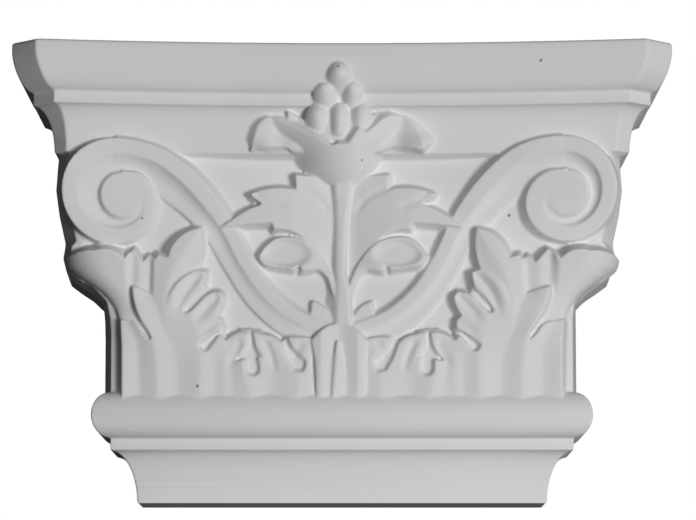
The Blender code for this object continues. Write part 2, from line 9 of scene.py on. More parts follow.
import bmesh
import bpy
import numpy as np
from bpy.props import FloatProperty, FloatVectorProperty, IntProperty
from mathutils import Euler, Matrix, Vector

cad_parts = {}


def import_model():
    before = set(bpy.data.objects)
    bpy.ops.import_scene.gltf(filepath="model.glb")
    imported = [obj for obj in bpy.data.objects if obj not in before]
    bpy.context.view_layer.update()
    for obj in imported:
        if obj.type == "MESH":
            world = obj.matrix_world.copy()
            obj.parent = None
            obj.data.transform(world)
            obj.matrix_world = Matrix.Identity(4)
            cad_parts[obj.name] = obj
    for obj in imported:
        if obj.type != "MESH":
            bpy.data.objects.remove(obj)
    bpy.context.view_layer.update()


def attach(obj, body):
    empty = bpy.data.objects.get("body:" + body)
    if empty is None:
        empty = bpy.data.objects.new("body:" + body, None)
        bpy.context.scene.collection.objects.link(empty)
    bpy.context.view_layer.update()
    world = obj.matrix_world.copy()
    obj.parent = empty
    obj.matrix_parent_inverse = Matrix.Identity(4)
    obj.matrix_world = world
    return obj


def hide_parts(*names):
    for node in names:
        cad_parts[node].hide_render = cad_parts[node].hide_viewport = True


bl_info = {
    "name": "Pilaster capital",
    "version": (1, 0, 0),
    "blender": (4, 5, 0),
    "location": "3D View > Sidebar > Capital",
    "description": "Builds a cast plaster pilaster capital over its packed solid, and its stage",
    "category": "Object",
}

MM = 0.001

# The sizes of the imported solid, which the visual model keeps
SHAFT_HALF = 100.0
SHAFT_DEPTH = 41.0
COVE_HEIGHT = 25.0
COVE_STEP = 12.5
NECK_FILLET = 6.0
TORUS_HEIGHT = 21.0
TORUS_STEP = 9.0
BELL_HEIGHT = 115.0
BELL_FLARE = 5.0
SOFFIT_HEIGHT = 2.5
SOFFIT_STEP = 6.5
CAVETTO_HEIGHT = 22.0
CAVETTO_STEP = 10.0
FILLET_HEIGHT = 6.3
OVOLO_HEIGHT = 18.2
OVOLO_STEP = 9.8
BAND_HEIGHT = 5.0
TOP_ROUND = 1.5
HORN_REACH = 47.5
HORN_CUT = 12.6
HORN_TAPER = 28.0
ABACUS_BOW = 12.5
ARRIS_SLIP = 0.12
NECK_HALF = SHAFT_HALF + COVE_STEP
BELL_DEPTH = SHAFT_DEPTH + COVE_STEP
BELL_FOOT = COVE_HEIGHT + NECK_FILLET + TORUS_HEIGHT
ABACUS_FOOT = BELL_FOOT + BELL_HEIGHT
ABACUS_HALF = NECK_HALF + HORN_REACH
ABACUS_STEP = SOFFIT_STEP + CAVETTO_STEP + OVOLO_STEP
ARRIS_DEPTH = BELL_DEPTH + ABACUS_STEP + ABACUS_BOW
BACK = ARRIS_DEPTH / 2

# The visual model's own forms: the bell swells forward at its top corners, from a place across and a height
# above its foot, the upper half of the torus is fuller than the lower, and the ovolo is fuller than round
SWELL = 11.0
SWELL_START = 20.0
SWELL_FOOT = 52.0
SWELL_POWER = 1.6
TORUS_LIFT = 1.2
TORUS_LIFT_POWER = 4
OVOLO_POWER = 0.8

# How far the base, the bell and the abacus run into one another
BASE_OVERLAP = 1
BELL_OVERLAP_BELOW = TORUS_HEIGHT / 3
BELL_OVERLAP_ABOVE = SOFFIT_HEIGHT * 2
ABACUS_OVERLAP = 1
SOFFIT_DROP = SOFFIT_HEIGHT * 0.15

# How finely the forms are cut before they are cast into one skin, and how that skin is smoothed
ARC_STEPS = 18
BOW_STEPS = 72
BELL_STEPS = 36
ROUND_STEPS = 4
GRID = 0.8
SPACING = 0.6
CUT_DISTANCE = 0.02
MERGE_DISTANCE = 0.01
SMOOTHING = 0.5
SMOOTHING_ROUNDS = 2

# The carving: the slope of its sides, its least height, and how far out its sides end and it is bedded
DRAFT = 0.42
LEAST_RISE = 0.5
SIDE_FOOT = -1.0
BEDDING = -7.0

# How far the foliage sits to one side, how much further above its foot, and the band in which that runs out
LEAN = -1.2
LEAN_MORE = -0.7
LEAN_HEIGHTS = (25, 45)
LEAN_BAND = (106, 92)

# How far a side may slope: over a corner, within the room that it has, and from one point to the next
CORNER_SPREAD = 1.35
CORNER_FACING = 0.3
ROOM_SHARE = 0.4
SLOPE_CHANGE = 1.02
NO_ROOM = 0.05
EDGE_MARGIN = 0.001
OPEN_ROOM = 1000.0
PARALLEL = 1e-9
SMALL = 1e-6

# The photograph's camera: millimetres, and pixels of a frame 696 wide
CAMERA_OUT = 1799.0
CAMERA_UP = -98.8
CAMERA_PITCH = 7.08
FOCAL_PIXELS = 3600.0
FRAME_PIXELS = 696.0
VANISHING_PIXEL = 342.0
SENSOR_WIDTH = 36.0

# The stage, in metres: the floor, the two lights that face the capital's middle, and the light from around
FLOOR_HALF = 1.0
FLOOR_FRONT = 0.35
FLOOR_DROP = 0.0003
FLOOR_COLOR = (0.5, 0.5, 0.5)
FLOOR_ROUGHNESS = 0.9
LIGHT_AIM = (0, 0, 0.11)
KEY_PLACE = (0.88, -1.66, -0.15)
KEY_SIZE = (0.6, 0.4)
FILL_PLACE = (-0.4, -1.9, 0.3)
FILL_SIZE = (1.0, 1.0)
FILL_SHARE = 0.05
SURROUND_LIGHT = 0.03
BACKGROUND = (1, 1, 1, 1)

# The plaster: its gloss, faint clouds in its color, fine grain, and how dark the painted shade of an air hole
# is
PLASTER_ROUGHNESS = 0.85
PLASTER_SPECULAR = 0.25
CLOUD_SCALE = 14.0
CLOUD_DETAIL = 5.0
CLOUD_TONE = 0.965
CLOUD_RANGE = (0.3, 0.7)
GRAIN_SCALE = 900.0
GRAIN_DETAIL = 3.0
GRAIN_STRENGTH = 0.06
GRAIN_DEPTH = 0.0003
# Painted shade of an air hole: the colour falls to this share at its middle, over this share of its radius
HOLE_SHADE_TONE = 0.3
HOLE_SHADE_CORE = 0.4


def ease(start, end, value):
    """0 before start and 1 past end, with a smooth change between; start may lie above end."""
    share = np.clip((value - start) / (end - start), 0.0, 1.0)
    return share * share * (3 - 2 * share)


def swell(across, up):
    """How far the bell spreads forward towards the horns as it rises."""
    share = max(0.0, abs(across) - SWELL_START) / (NECK_HALF - SWELL_START)
    return SWELL * ease(SWELL_FOOT, BELL_HEIGHT, up) * share**SWELL_POWER


def carved(across, up, out, side=1):
    """World place of a point of the carving."""
    return Vector((side * across, BACK - BELL_DEPTH - out - swell(across, up), BELL_FOOT + up)) * MM


def lean(across, up):
    """The foliage sits a little to the left of the middle, most of all above its foot."""
    return float((LEAN + LEAN_MORE * ease(*LEAN_HEIGHTS, up)) * ease(*LEAN_BAND, across))


def finish(bm, name):
    """An object of the closed form, with its faces pointing outwards."""
    bmesh.ops.remove_doubles(bm, verts=bm.verts[:], dist=MERGE_DISTANCE * MM)
    bmesh.ops.recalc_face_normals(bm, faces=bm.faces[:])
    mesh = bpy.data.meshes.new(name)
    bm.to_mesh(mesh)
    bm.free()
    thing = bpy.data.objects.new(name, mesh)
    bpy.context.scene.collection.objects.link(thing)
    return thing


def loft(bm, rings):
    """Closed skin through rings of as many points, with a cap at each end."""
    face = bm.faces.new([bm.verts.new(point) for point in rings[0]])
    foot_vertices = list(face.verts)
    for ring in rings[1:]:
        face = bmesh.ops.extrude_discrete_faces(bm, faces=[face])["faces"][0]
        for vertex, point in zip(face.verts, ring):
            vertex.co = point
    bm.faces.new(list(reversed(foot_vertices)))


def plan_ring(half, depth, height):
    """The plain block in plan, against the wall."""
    front = BACK - depth
    points = [(-half, BACK), (half, BACK), (half, front), (-half, front)]
    return [Vector((x, y, height)) * MM for x, y in points]


def base_profile():
    """(step out from the shaft, height) up the cove, the neck fillet and the torus."""
    points = []
    for i in range(ARC_STEPS + 1):
        share = math.sin(math.pi / 2 * i / ARC_STEPS)
        points.append((COVE_STEP * (1 - math.sqrt(1 - share * share)), COVE_HEIGHT * share))
    points.append((COVE_STEP, COVE_HEIGHT + NECK_FILLET))
    turns = 2 * ARC_STEPS
    for i in range(1, turns):
        angle = math.pi * i / turns
        step = COVE_STEP + TORUS_STEP * math.sin(angle)
        raised = TORUS_LIFT * math.sin(angle / 2) ** TORUS_LIFT_POWER
        points.append((step, BELL_FOOT - TORUS_HEIGHT * (1 + math.cos(angle)) / 2 + raised))
    points.append((COVE_STEP - BASE_OVERLAP, BELL_FOOT))
    return points


def make_base():
    bm = bmesh.new()
    loft(bm, [plan_ring(SHAFT_HALF + step, SHAFT_DEPTH + step, height) for step, height in base_profile()])
    return finish(bm, "base_mould")


def make_bell():
    """The ground of the carving. It runs on into the torus below and the abacus above."""
    bm = bmesh.new()
    rings = []
    half_back = NECK_HALF + BELL_FLARE
    for i in range(BELL_STEPS + 1):
        up = BELL_HEIGHT * i / BELL_STEPS
        if i in (0, BELL_STEPS):
            up += BELL_OVERLAP_ABOVE if i else -BELL_OVERLAP_BELOW
        ring = [Vector((x, BACK, BELL_FOOT + up)) * MM for x in (-half_back, half_back)]
        ring += [carved(NECK_HALF * (1 - 2 * k / BELL_STEPS), up, 0) for k in range(BELL_STEPS + 1)]
        rings.append(ring)
    loft(bm, rings)
    return finish(bm, "bell_ground")


def abacus_profile():
    """(step in from the top's edge, height above the abacus foot), from the soffit up."""
    points = [(ABACUS_STEP + ABACUS_OVERLAP, -SOFFIT_DROP), (ABACUS_STEP, 0)]
    foot = SOFFIT_HEIGHT
    for i in range(ARC_STEPS + 1):
        angle = math.pi / 2 * i / ARC_STEPS
        points.append((OVOLO_STEP + CAVETTO_STEP * math.cos(angle), foot + CAVETTO_HEIGHT * math.sin(angle)))
    foot += CAVETTO_HEIGHT + FILLET_HEIGHT
    for i in range(ARC_STEPS + 1):
        angle = math.pi / 2 * (1 - i / ARC_STEPS)
        step = OVOLO_STEP * (1 - math.cos(angle)) ** OVOLO_POWER
        points.append((step, foot + OVOLO_HEIGHT * (1 - math.sin(angle))))
    top = foot + OVOLO_HEIGHT + BAND_HEIGHT
    for i in range(ROUND_STEPS + 1):
        angle = math.pi / 2 * i / ROUND_STEPS
        points.append((TOP_ROUND * (1 - math.cos(angle)), top - TOP_ROUND * (1 - math.sin(angle))))
    return points


def abacus_ring(step, height):
    """The abacus in plan: bowed front, horns cut across at 45 degrees, straight sides back to the wall."""
    outer = ABACUS_HALF - step
    cut = HORN_CUT * (1 - (step / HORN_TAPER) ** 2)
    arris = outer - cut
    arris_depth = ARRIS_DEPTH - (1 + ARRIS_SLIP) * step
    bow = ABACUS_BOW - ARRIS_SLIP * step
    ring = [(-outer, BACK), (-outer, BACK - arris_depth + cut)]
    for i in range(BOW_STEPS + 1):
        share = 2 * i / BOW_STEPS - 1
        ring.append((arris * share, BACK - arris_depth + bow * (1 - share * share)))
    ring += [(outer, BACK - arris_depth + cut), (outer, BACK)]
    return [Vector((x, y, height)) * MM for x, y in ring]


def make_abacus():
    bm = bmesh.new()
    loft(bm, [abacus_ring(step, ABACUS_FOOT + height) for step, height in abacus_profile()])
    return finish(bm, "abacus_mould")


def arc(start, end, bulge, spacing):
    """Points from start up to, not with, end. Bulge is the rise over the chord, to the left of travel."""
    chord = math.dist(start, end)
    count = max(1, round(chord * (1 + 2 * bulge * bulge) / spacing))
    points = []
    for i in range(count):
        share = i / count
        rise = 4 * bulge * share * (1 - share)
        x = start[0] + (end[0] - start[0]) * share - (end[1] - start[1]) * rise
        y = start[1] + (end[1] - start[1]) * share + (end[0] - start[0]) * rise
        points.append((x, y))
    return points


def outline(corners, spacing):
    """Points round a closed outline of (across, up, bulge of the side that follows) corners."""
    points = []
    for i, corner in enumerate(corners):
        after = corners[(i + 1) % len(corners)]
        bulge = corner[2] if len(corner) > 2 else 0
        points += arc(corner[:2], after[:2], bulge, spacing)
    return points


def area(points):
    """The area within the points, below 0 where they run clockwise."""
    turned = points[1:] + points[:1]
    return sum(a[0] * b[1] - b[0] * a[1] for a, b in zip(points, turned)) / 2


def rooms(here, ways, points):
    """How far a ray runs from each point of the outline before it meets the outline again."""
    a = np.array(points)
    e = np.roll(a, -1, 0) - a
    cross = ways[:, None, 0] * e[None, :, 1] - ways[:, None, 1] * e[None, :, 0]
    cross = np.where(np.abs(cross) < PARALLEL, PARALLEL, cross)
    gap = a[None] - here[:, None]
    reach = (gap[..., 0] * e[None, :, 1] - gap[..., 1] * e[None, :, 0]) / cross
    share = (gap[..., 0] * ways[:, None, 1] - gap[..., 1] * ways[:, None, 0]) / cross
    met = (reach > NO_ROOM) & (share > -EDGE_MARGIN) & (share < 1 + EDGE_MARGIN)
    return np.where(met, reach, OPEN_ROOM).min(1)


def walk(edges):
    """The vertices of one closed run of edges, in order."""
    links = {}
    for edge in edges:
        a, b = edge.verts
        links.setdefault(a, []).append(b)
        links.setdefault(b, []).append(a)
    start = edges[0].verts[0]
    order = [start]
    before, here = None, start
    while True:
        a, b = links[here]
        following = b if a is before else a
        if following is start:
            return order
        order.append(following)
        before, here = here, following


def along(place, stations):
    """The measure at a place, between stations of (place, measure)."""
    places, measures = zip(*stations)
    return np.interp(place, places, measures)


def at(value, x, y):
    """A number, or a rule of (across, up), for each of the places."""
    return value(x, y) if callable(value) else np.full(len(x), float(value))


def side_steps(order, rise, points, draft):
    """How far each vertex of the rim moves out, so that the sides slope as a mould needs."""
    here = np.array([vertex.co.to_2d() for vertex in order])
    first = here - np.roll(here, 1, 0)
    second = np.roll(here, -1, 0) - here
    first /= np.linalg.norm(first, axis=1)[:, None]
    second /= np.linalg.norm(second, axis=1)[:, None]
    ways = np.stack([first[:, 1] + second[:, 1], -first[:, 0] - second[:, 0]], 1)
    ways /= np.maximum(SMALL, np.linalg.norm(ways, axis=1))[:, None]
    facing = ways[:, 0] * first[:, 1] - ways[:, 1] * first[:, 0]
    spread = np.minimum(CORNER_SPREAD, 1 / np.maximum(CORNER_FACING, facing))
    wanted = np.minimum(draft * rise * spread, ROOM_SHARE * rooms(here, ways, points))
    for _ in range(2):
        level = (np.roll(wanted, 1) + wanted + np.roll(wanted, -1)) / 3
        wanted = np.minimum(wanted, level * SLOPE_CHANGE)
    return ways * wanted[:, None]


def plate(name, corners, height, ground, side=1, draft=DRAFT, shift=None):
    """A raised piece of carving: its outline, a face that follows height, and sides that slope to ground."""
    points = outline(corners, SPACING)
    if area(points) < 0:
        points.reverse()
    bm = bmesh.new()
    bm.faces.new([bm.verts.new((x, y, 0)) for x, y in points])
    for axis in (0, 1):
        low = min(p[axis] for p in points)
        high = max(p[axis] for p in points)
        cuts = math.ceil((high - low) / GRID)
        for i in range(1, cuts):
            place, normal = [0, 0, 0], [0, 0, 0]
            place[axis] = low + (high - low) * i / cuts
            normal[axis] = 1
            geometry = bm.verts[:] + bm.edges[:] + bm.faces[:]
            bmesh.ops.bisect_plane(bm, geom=geometry, plane_co=place, plane_no=normal, dist=CUT_DISTANCE)
    bmesh.ops.triangulate(bm, faces=bm.faces[:])
    order = walk([edge for edge in bm.edges if edge.is_boundary])
    if area([(v.co.x, v.co.y) for v in order]) < 0:
        order.reverse()
    flat = np.array([vertex.co.to_2d() for vertex in bm.verts])
    for vertex, out in zip(bm.verts, at(height, flat[:, 0], flat[:, 1])):
        vertex.co.z = out
    rim = np.array([vertex.co for vertex in order])
    foot = at(ground, rim[:, 0], rim[:, 1])
    rise = np.maximum(LEAST_RISE, rim[:, 2] - foot)
    moves = side_steps(order, rise, points, at(draft, rim[:, 0], rim[:, 1]))
    upper = order
    for sink in (SIDE_FOOT, BEDDING):
        lower = []
        for place, move, out in zip(rim, moves, foot + sink):
            depth = min(out, place[2] - LEAST_RISE)
            lower.append(bm.verts.new((place[0] + move[0], place[1] + move[1], depth)))
        for i in range(len(upper)):
            j = (i + 1) % len(upper)
            bm.faces.new((upper[i], lower[i], lower[j], upper[j]))
        upper = lower
    bm.faces.new(list(reversed(upper)))
    for vertex in bm.verts:
        x, y, out = vertex.co
        moved = side * shift(x, y) if shift else 0.0
        vertex.co = carved(x + moved, y, out, side)
    return finish(bm, name)


def arc_offset(x, y, start, end, bulge):
    """(share along an arc, distance to its left)."""
    chord = math.dist(start, end)
    ux, uy = (end[0] - start[0]) / chord, (end[1] - start[1]) / chord
    share = ((x - start[0]) * ux + (y - start[1]) * uy) / chord
    across = -(x - start[0]) * uy + (y - start[1]) * ux
    return share, across - 4 * bulge * share * (1 - share) * chord


def fade(share, head, tail):
    """1 along a line, running out over its head and its tail, and 0 beyond its ends."""
    return ease(0, head, share) * ease(1, 1 - tail, share)


CREASE_HALF = 0.7


def crease(x, y, fold):
    """The face steps along an arc: up to its left and down to its right, and runs out again each side."""
    start, end, bulge, left, right, reach, head, tail = fold
    share, across = arc_offset(x, y, start, end, bulge)
    blend = ease(-CREASE_HALF, CREASE_HALF, across)
    away = np.exp(-np.abs(across) / reach)
    return fade(share, head, tail) * away * (left * blend - right * (1 - blend))


def groove(x, y, line):
    """A V-shaped vein along an arc: negative depth makes a ridge."""
    start, end, bulge, depth, half, head, tail = line
    share, across = arc_offset(x, y, start, end, bulge)
    near = np.clip(1 - np.abs(across) / half, 0, 1)
    return -depth * fade(share, head, tail) * near


# How round a face runs from ridge to valley, from 0 to 1, and the least width between the two
ROUNDNESS = 0.5
LEAST_WIDTH = 0.05


def between(x, y, lines):
    """A face stretched between ridges and valleys, each a run of (up, across, out) from foot to top."""
    runs = [np.array(line, float).T for line in lines]
    across = [np.interp(y, run[0], run[1]) for run in runs]
    out = [np.interp(y, run[0], run[2]) for run in runs]
    face = out[0]
    for i in range(len(runs) - 1):
        share = np.clip((x - across[i]) / np.maximum(LEAST_WIDTH, across[i + 1] - across[i]), 0, 1)
        share = share * (1 - ROUNDNESS) + ROUNDNESS * share * share * (3 - 2 * share)
        face = face + (out[i + 1] - out[i]) * share
    return face


# Outlines of the carving run round by (across, up), or (across, up, bulge) where the next side is an arc
FOLIAGE = [
    (12.6, -3.0),
    (14.2, 18.0, 0.05),
    (12.0, 25.8, 0.05),
    (18.2, 27.4),
    (24.6, 26.9),
    (23.2, 23.8, 0.04),
    (16.8, 17.6, -0.14),
    (16.6, 12.0, -0.25),
    (20.2, 10.4, -0.2),
    (23.8, 12.8, -0.05),
    (28.4, 23.4, 0.12),
    (35.3, 28.3),
    (41.8, 29.4),
    (41.2, 26.0, 0.06),
    (37.0, 17.7),
    (39.3, 17.3, -0.04),
    (38.4, 11.6, -0.2),
    (42.6, 8.2, -0.22),
    (46.4, 13.0),
    (46.4, 16.2),
    (52.0, 15.9, 0.08),
    (45.4, 25.0, 0.03),
    (44.4, 29.0, 0.15),
    (53.9, 26.9),
    (55.6, 25.4),
    (58.7, 28.1),
    (63.2, 21.7, -0.3),
    (67.6, 21.0, -0.3),
    (67.4, 25.8),
    (57.6, 32.2, 0.15),
    (58.0, 36.2),
    (60.4, 37.9, 0.07),
    (56.6, 46.0, 0.2),
    (58.4, 49.2, 0.12),
    (66.0, 45.6, -0.02),
    (72.4, 39.2, -0.5),
    (75.4, 41.8, -0.05),
    (67.4, 51.0, 0.06),
    (65.2, 58.9),
    (69.8, 60.2, 0.08),
    (67.4, 80.2, 0.14),
    (82.0, 68.6),
    (82.4, 65.6),
    (87.8, 67.2),
    (88.8, 64.8),
    (92.2, 67.0),
    (95.6, 63.4),
    (100.6, 70.0, 0.05),
    (105.8, 64.8, 0.16),
    (120.0, 68.8, 0.06),
    (135.4, 66.4, 0.1),
    (134.2, 60.6),
    (127.0, 55.4, -0.04),
    (115.0, 48.4, -0.05),
    (109.4, 40.0, -0.04),
    (107.6, 30.0),
    (107.0, -3.0),
]

# Ridges and valleys of the foliage from the middle outward, each by (up, across, out)
FOLIAGE_LINES = [
    [(-3, 11, 5.0), (30, 11, 5.4)],
    [(-3, 21, 6.6), (12, 19, 6.4), (26, 17, 6.0)],
    [(-3, 34.5, 4.7), (12, 32.5, 5.2), (28, 33, 6.2)],
    [(-3, 43, 6.5), (9, 46.5, 6.8), (29, 46, 6.6)],
    [(-3, 51.5, 5.6), (14, 52.5, 5.6), (28, 53, 6.2)],
    [(-3, 56, 5.8), (14, 56, 6.0), (45, 56, 7.4), (80, 60, 8.0)],
    [(-3, 60.5, 5.2), (15, 60, 5.8), (24, 62, 7.0), (80, 63, 8.0)],
    [
        (-3, 68, 6.6),
        (20, 67.5, 7.4),
        (30, 70, 7.8),
        (45, 70, 8.0),
        (60, 69.5, 7.8),
        (70, 67.5, 7.8),
        (80, 64, 7.8),
    ],
    [
        (-3, 79, 5.0),
        (10, 79, 5.2),
        (20, 80, 6.2),
        (30, 83.5, 7.4),
        (40, 84.6, 8.8),
        (47, 84, 9.8),
        (55, 82, 10.4),
        (62, 79.5, 10.4),
        (71, 74, 10.0),
        (80, 68, 9.0),
    ],
    [(-3, 88, 4.2), (20, 88, 5.2), (30, 88, 6.6), (40, 88.6, 8.0), (48, 89.8, 8.8), (67, 89.2, 9.4)],
    [(-3, 92, 4.0), (30, 92, 5.6), (44, 92, 6.8), (50, 91.8, 6.5), (67, 91.2, 7.2)],
    [(-3, 97, 3.0), (30, 97, 5.4), (48, 98, 6.8), (52, 97.4, 7.8), (67, 97.4, 8.9)],
    [(-3, 100, 3.0), (30, 100, 5.4), (42, 101.8, 5.8), (50, 101.8, 6.9), (67, 101.8, 8.1)],
    [(-3, 105, 3.0), (30, 104, 5.0), (42, 104.5, 5.4), (50, 105.2, 7.8), (60, 105.8, 10.2), (69, 105, 12.6)],
    [(30, 130, 3.0), (42, 130, 4.6), (50, 130, 7.8), (60, 130, 10.4), (69, 130, 12.8)],
]

# (start, end, bulge, step up on the left, step down on the right, reach, fade at the start and at the end)
CREASES = [
    ((63.4, 61.2), (84.0, 37.8), 0.2, -0.9, -1.5, 5.0, 0.05, 0.5),
    ((56.0, 50.4), (74.4, 37.0), 0.22, 0.0, -0.7, 4.0, 0.05, 0.1),
]

# (start, end, bulge, depth, half width, fade at the start and at the end)
VEINS = [
    ((65.0, 60.0), (79.4, 36.0), 0.09, 1.9, 3.3, 0.12, 0.4),
    ((57.4, 48.6), (71.5, 32.8), 0.01, 1.6, 3.1, 0.12, 0.45),
    ((56.4, 35.6), (69.0, 26.6), 0.05, 0.8, 2.8, 0.15, 0.5),
    ((37.4, 27.0), (31.0, 8.0), -0.06, 1.4, 2.6, 0.15, 0.5),
    ((48.0, 27.0), (56.0, 11.0), -0.08, 1.1, 3.0, 0.15, 0.5),
    ((17.0, 25.6), (22.0, 14.0), 0.1, 0.9, 3.0, 0.15, 0.4),
]

# (start, end, reach) of the shallow gaps between the leaflets, each with a soft edge about its reach
GAPS = [
    ((68.6, 48.6), (74.0, 41.0), 4.6),
    ((60.4, 29.6), (66.0, 23.4), 4.4),
    ((23.6, 23.0), (20.0, 13.6), 5.4),
    ((43.4, 26.0), (42.4, 12.0), 5.8),
]
GAP_DEPTH = 3.0
GAP_OUTER = 1.0
GAP_INNER = 0.5
GAP_DRAFT = 0.45
WEB_DRAFT = 0.3

# The rolled outer edge by height: its place across, its width and its depth
ROLL_HEIGHTS = [28, 36, 42, 46, 50, 54, 58, 62, 68, 74]
ROLL_EDGE = [107.8, 108.6, 111.0, 113.6, 117.4, 123.4, 130.0, 135.2, 137.0, 137.4]
ROLL_WIDE = [3.0, 5.0, 8.0, 10.0, 11.6, 14.0, 17.0, 20.0, 21.0, 21.0]
ROLL_DEEP = [0.8, 2.6, 5.0, 6.6, 8.0, 12.0, 17.0, 22.0, 23.0, 23.0]
ROLL_LIMIT = 0.995
CORNER_EDGE = 106
FOLIAGE_LEAST = 0.6


def foliage_height(x, y):
    """The foliage lies low at its foot and leans forward as it climbs, and rolls away at its outer edge."""
    face = between(x, y, FOLIAGE_LINES)
    face = face + sum(crease(x, y, fold) for fold in CREASES) + sum(groove(x, y, line) for line in VEINS)
    wide = np.interp(y, ROLL_HEIGHTS, ROLL_WIDE)
    turned = np.clip(1 - (np.interp(y, ROLL_HEIGHTS, ROLL_EDGE) - x) / wide, 0, ROLL_LIMIT)
    face = face - np.interp(y, ROLL_HEIGHTS, ROLL_DEEP) * (1 - np.sqrt(1 - turned**2))
    return np.where(x < CORNER_EDGE, np.maximum(face, FOLIAGE_LEAST), face)


def in_gap(x, y):
    """1 within the shallow gaps and 0 away from them."""
    found = np.zeros(len(x))
    for start, end, reach in GAPS:
        run = (end[0] - start[0], end[1] - start[1])
        share = ((x - start[0]) * run[0] + (y - start[1]) * run[1]) / (run[0] ** 2 + run[1] ** 2)
        share = np.clip(share, 0, 1)
        away = np.hypot(x - start[0] - share * run[0], y - start[1] - share * run[1])
        found = np.maximum(found, ease(reach + GAP_OUTER, reach - GAP_INNER, away))
    return found


def foliage_ground(x, y):
    """The sides of the foliage go down to the bell, but only to the web within a gap."""
    return in_gap(x, y) * (foliage_height(x, y) - GAP_DEPTH)


def foliage_draft(x, y):
    """The sides slope more within a gap."""
    return DRAFT + GAP_DRAFT * in_gap(x, y)


def web_height(x, y):
    """The floor of a gap between two leaflets."""
    return foliage_height(x, y) - GAP_DEPTH


def capsule(start, end, radius):
    """The outline at one distance round a short line, with half circles for its ends."""
    angle = math.atan2(end[1] - start[1], end[0] - start[0])
    ax, ay = -radius * math.sin(angle), radius * math.cos(angle)
    return [
        (start[0] + ax, start[1] + ay, -0.5),
        (start[0] - ax, start[1] - ay),
        (end[0] - ax, end[1] - ay, -0.5),
        (end[0] + ax, end[1] + ay),
    ]


# The nearer leaf over the foot of the corner, with its arched top and the raised leaflet beside it
SKIRT = [
    (75.0, -3.0),
    (76.5, 20.0),
    (80.0, 30.0),
    (83.5, 38.0),
    (87.0, 46.4),
    (90.5, 47.9, 0.06),
    (101.2, 51.4, 0.03),
    (100.2, 45.0, 0.06),
    (92.6, 30.2, 0.03),
    (90.6, 25.6),
    (93.0, 26.6, -0.05),
    (97.4, 32.2, 0.12),
    (102.6, 35.0, 0.03),
    (107.6, 35.9),
    (106.9, 24.0),
    (106.7, -3.0),
]

SKIRT_LINES = [
    [(-3, 75, 3.6), (20, 76, 4.6), (30, 80, 5.6), (38, 83, 6.6), (48, 86.5, 7.4)],
    [
        (-3, 79, 5.1),
        (10, 79, 5.3),
        (20, 80, 6.2),
        (26, 82, 6.9),
        (30, 84, 7.3),
        (38, 87, 8.1),
        (48, 90.5, 8.9),
    ],
    [
        (-3, 88.3, 6.8),
        (10, 88.6, 7.1),
        (20, 89.4, 7.9),
        (26, 90.4, 8.6),
        (30, 92.6, 9.2),
        (36, 95.8, 9.8),
        (42, 98.6, 10.2),
        (48, 100.4, 10.6),
        (52, 101, 10.9),
    ],
    [
        (-3, 97.8, 5.0),
        (10, 98, 5.2),
        (20, 98.6, 5.7),
        (26, 99.6, 6.2),
        (31, 102.4, 6.6),
        (36, 105, 6.4),
        (52, 112, 8),
    ],
    [(-3, 106.8, 6.6), (20, 106.8, 6.9), (30, 107.4, 6.9), (37, 108, 6.3), (52, 120, 8)],
]
SKIRT_GROUND = 2.0
SKIRT_DRAFT = 0.5

# The inner corner of the skirt's top falls back by this much
SKIRT_FALL = 1.5
SKIRT_TOP = (42, 53)
SKIRT_INNER = (100, 92)


def skirt_height(x, y):
    """The gathered folds of the nearer leaf."""
    return between(x, y, SKIRT_LINES) - SKIRT_FALL * ease(*SKIRT_TOP, y) * ease(*SKIRT_INNER, x)


# The hollow strip along the corner beside the skirt: its outline, then its edge by height, and its own hollow
STRIP = [
    (106.0, -3.0),
    (106.4, 24.0),
    (107.4, 36.0),
    (110.6, 44.0),
    (116.4, 51.8),
    (113.4, 44.0),
    (112.1, 34.0),
    (111.9, -3.0),
]
STRIP_EDGE = [(-3, 112.0), (34, 112.1), (44, 113.6), (52, 116.6)]
STRIP_FLOOR = 0.15
STRIP_RISE = 2.0
STRIP_WIDTH = 4.6
STRIP_END = 1.2
STRIP_POWER = 1.6


def strip_height(x, y):
    """Lowest along the corner's edge, and hollow up to the skirt."""
    share = np.clip((along(y, STRIP_EDGE) - x) / STRIP_WIDTH, 0, STRIP_END)
    return STRIP_FLOOR + STRIP_RISE * share**STRIP_POWER


# The larger leaf that springs from the stem, with two ribs and a face that rises away from the stem
CAULINE = [
    (-3.0, 112.0),
    (14.0, 106.4),
    (22.8, 107.0),
    (22.0, 99.6, 0.08),
    (44.6, 97.2),
    (38.4, 92.4, 0.04),
    (50.0, 87.0),
    (58.4, 81.3),
    (46.0, 83.0),
    (34.1, 83.7),
    (33.0, 80.6, -0.12),
    (16.8, 74.2, -0.05),
    (6.0, 56.0),
    (3.0, 44.0),
    (-3.0, 44.0),
]
CAULINE_RIBS = [
    ((6.0, 88.0), (24.0, 101.0), 0.12, 1.0, 2.6, 0.2, 0.1),
    ((26.0, 91.0), (43.5, 97.8), -0.06, 0.9, 3.0, 0.3, 0.15),
]
CAULINE_SLOPE = [(2, 2.0), (12, 4.6), (24, 7.0), (34, 7.8), (58, 7.4)]
CAULINE_FALL = 1.2
CAULINE_FOOT = (84, 62)
CAULINE_INNER = (22, 4)

# The small leaf that curls out from under it, dished round its middle by these half widths
CURL = [
    (40.4, 66.8, -0.1),
    (31.5, 75.8, -0.12),
    (13.6, 70.7, -0.07),
    (3.2, 51.0),
    (-2.0, 42.0),
    (2.6, 42.0),
    (5.8, 53.5, 0.13),
    (12.2, 61.2),
    (19.5, 60.1),
    (20.6, 63.4),
    (24.0, 60.8),
    (37.0, 62.8, -0.12),
]
CURL_MIDDLE = (27, 68.5)
CURL_HALVES = (13.5, 7.5)
CURL_OUT = 4.4
CURL_RIM = 2.4
CURL_RIM_BAND = (0.3, 1.05)
CURL_INNER = (6, 20)


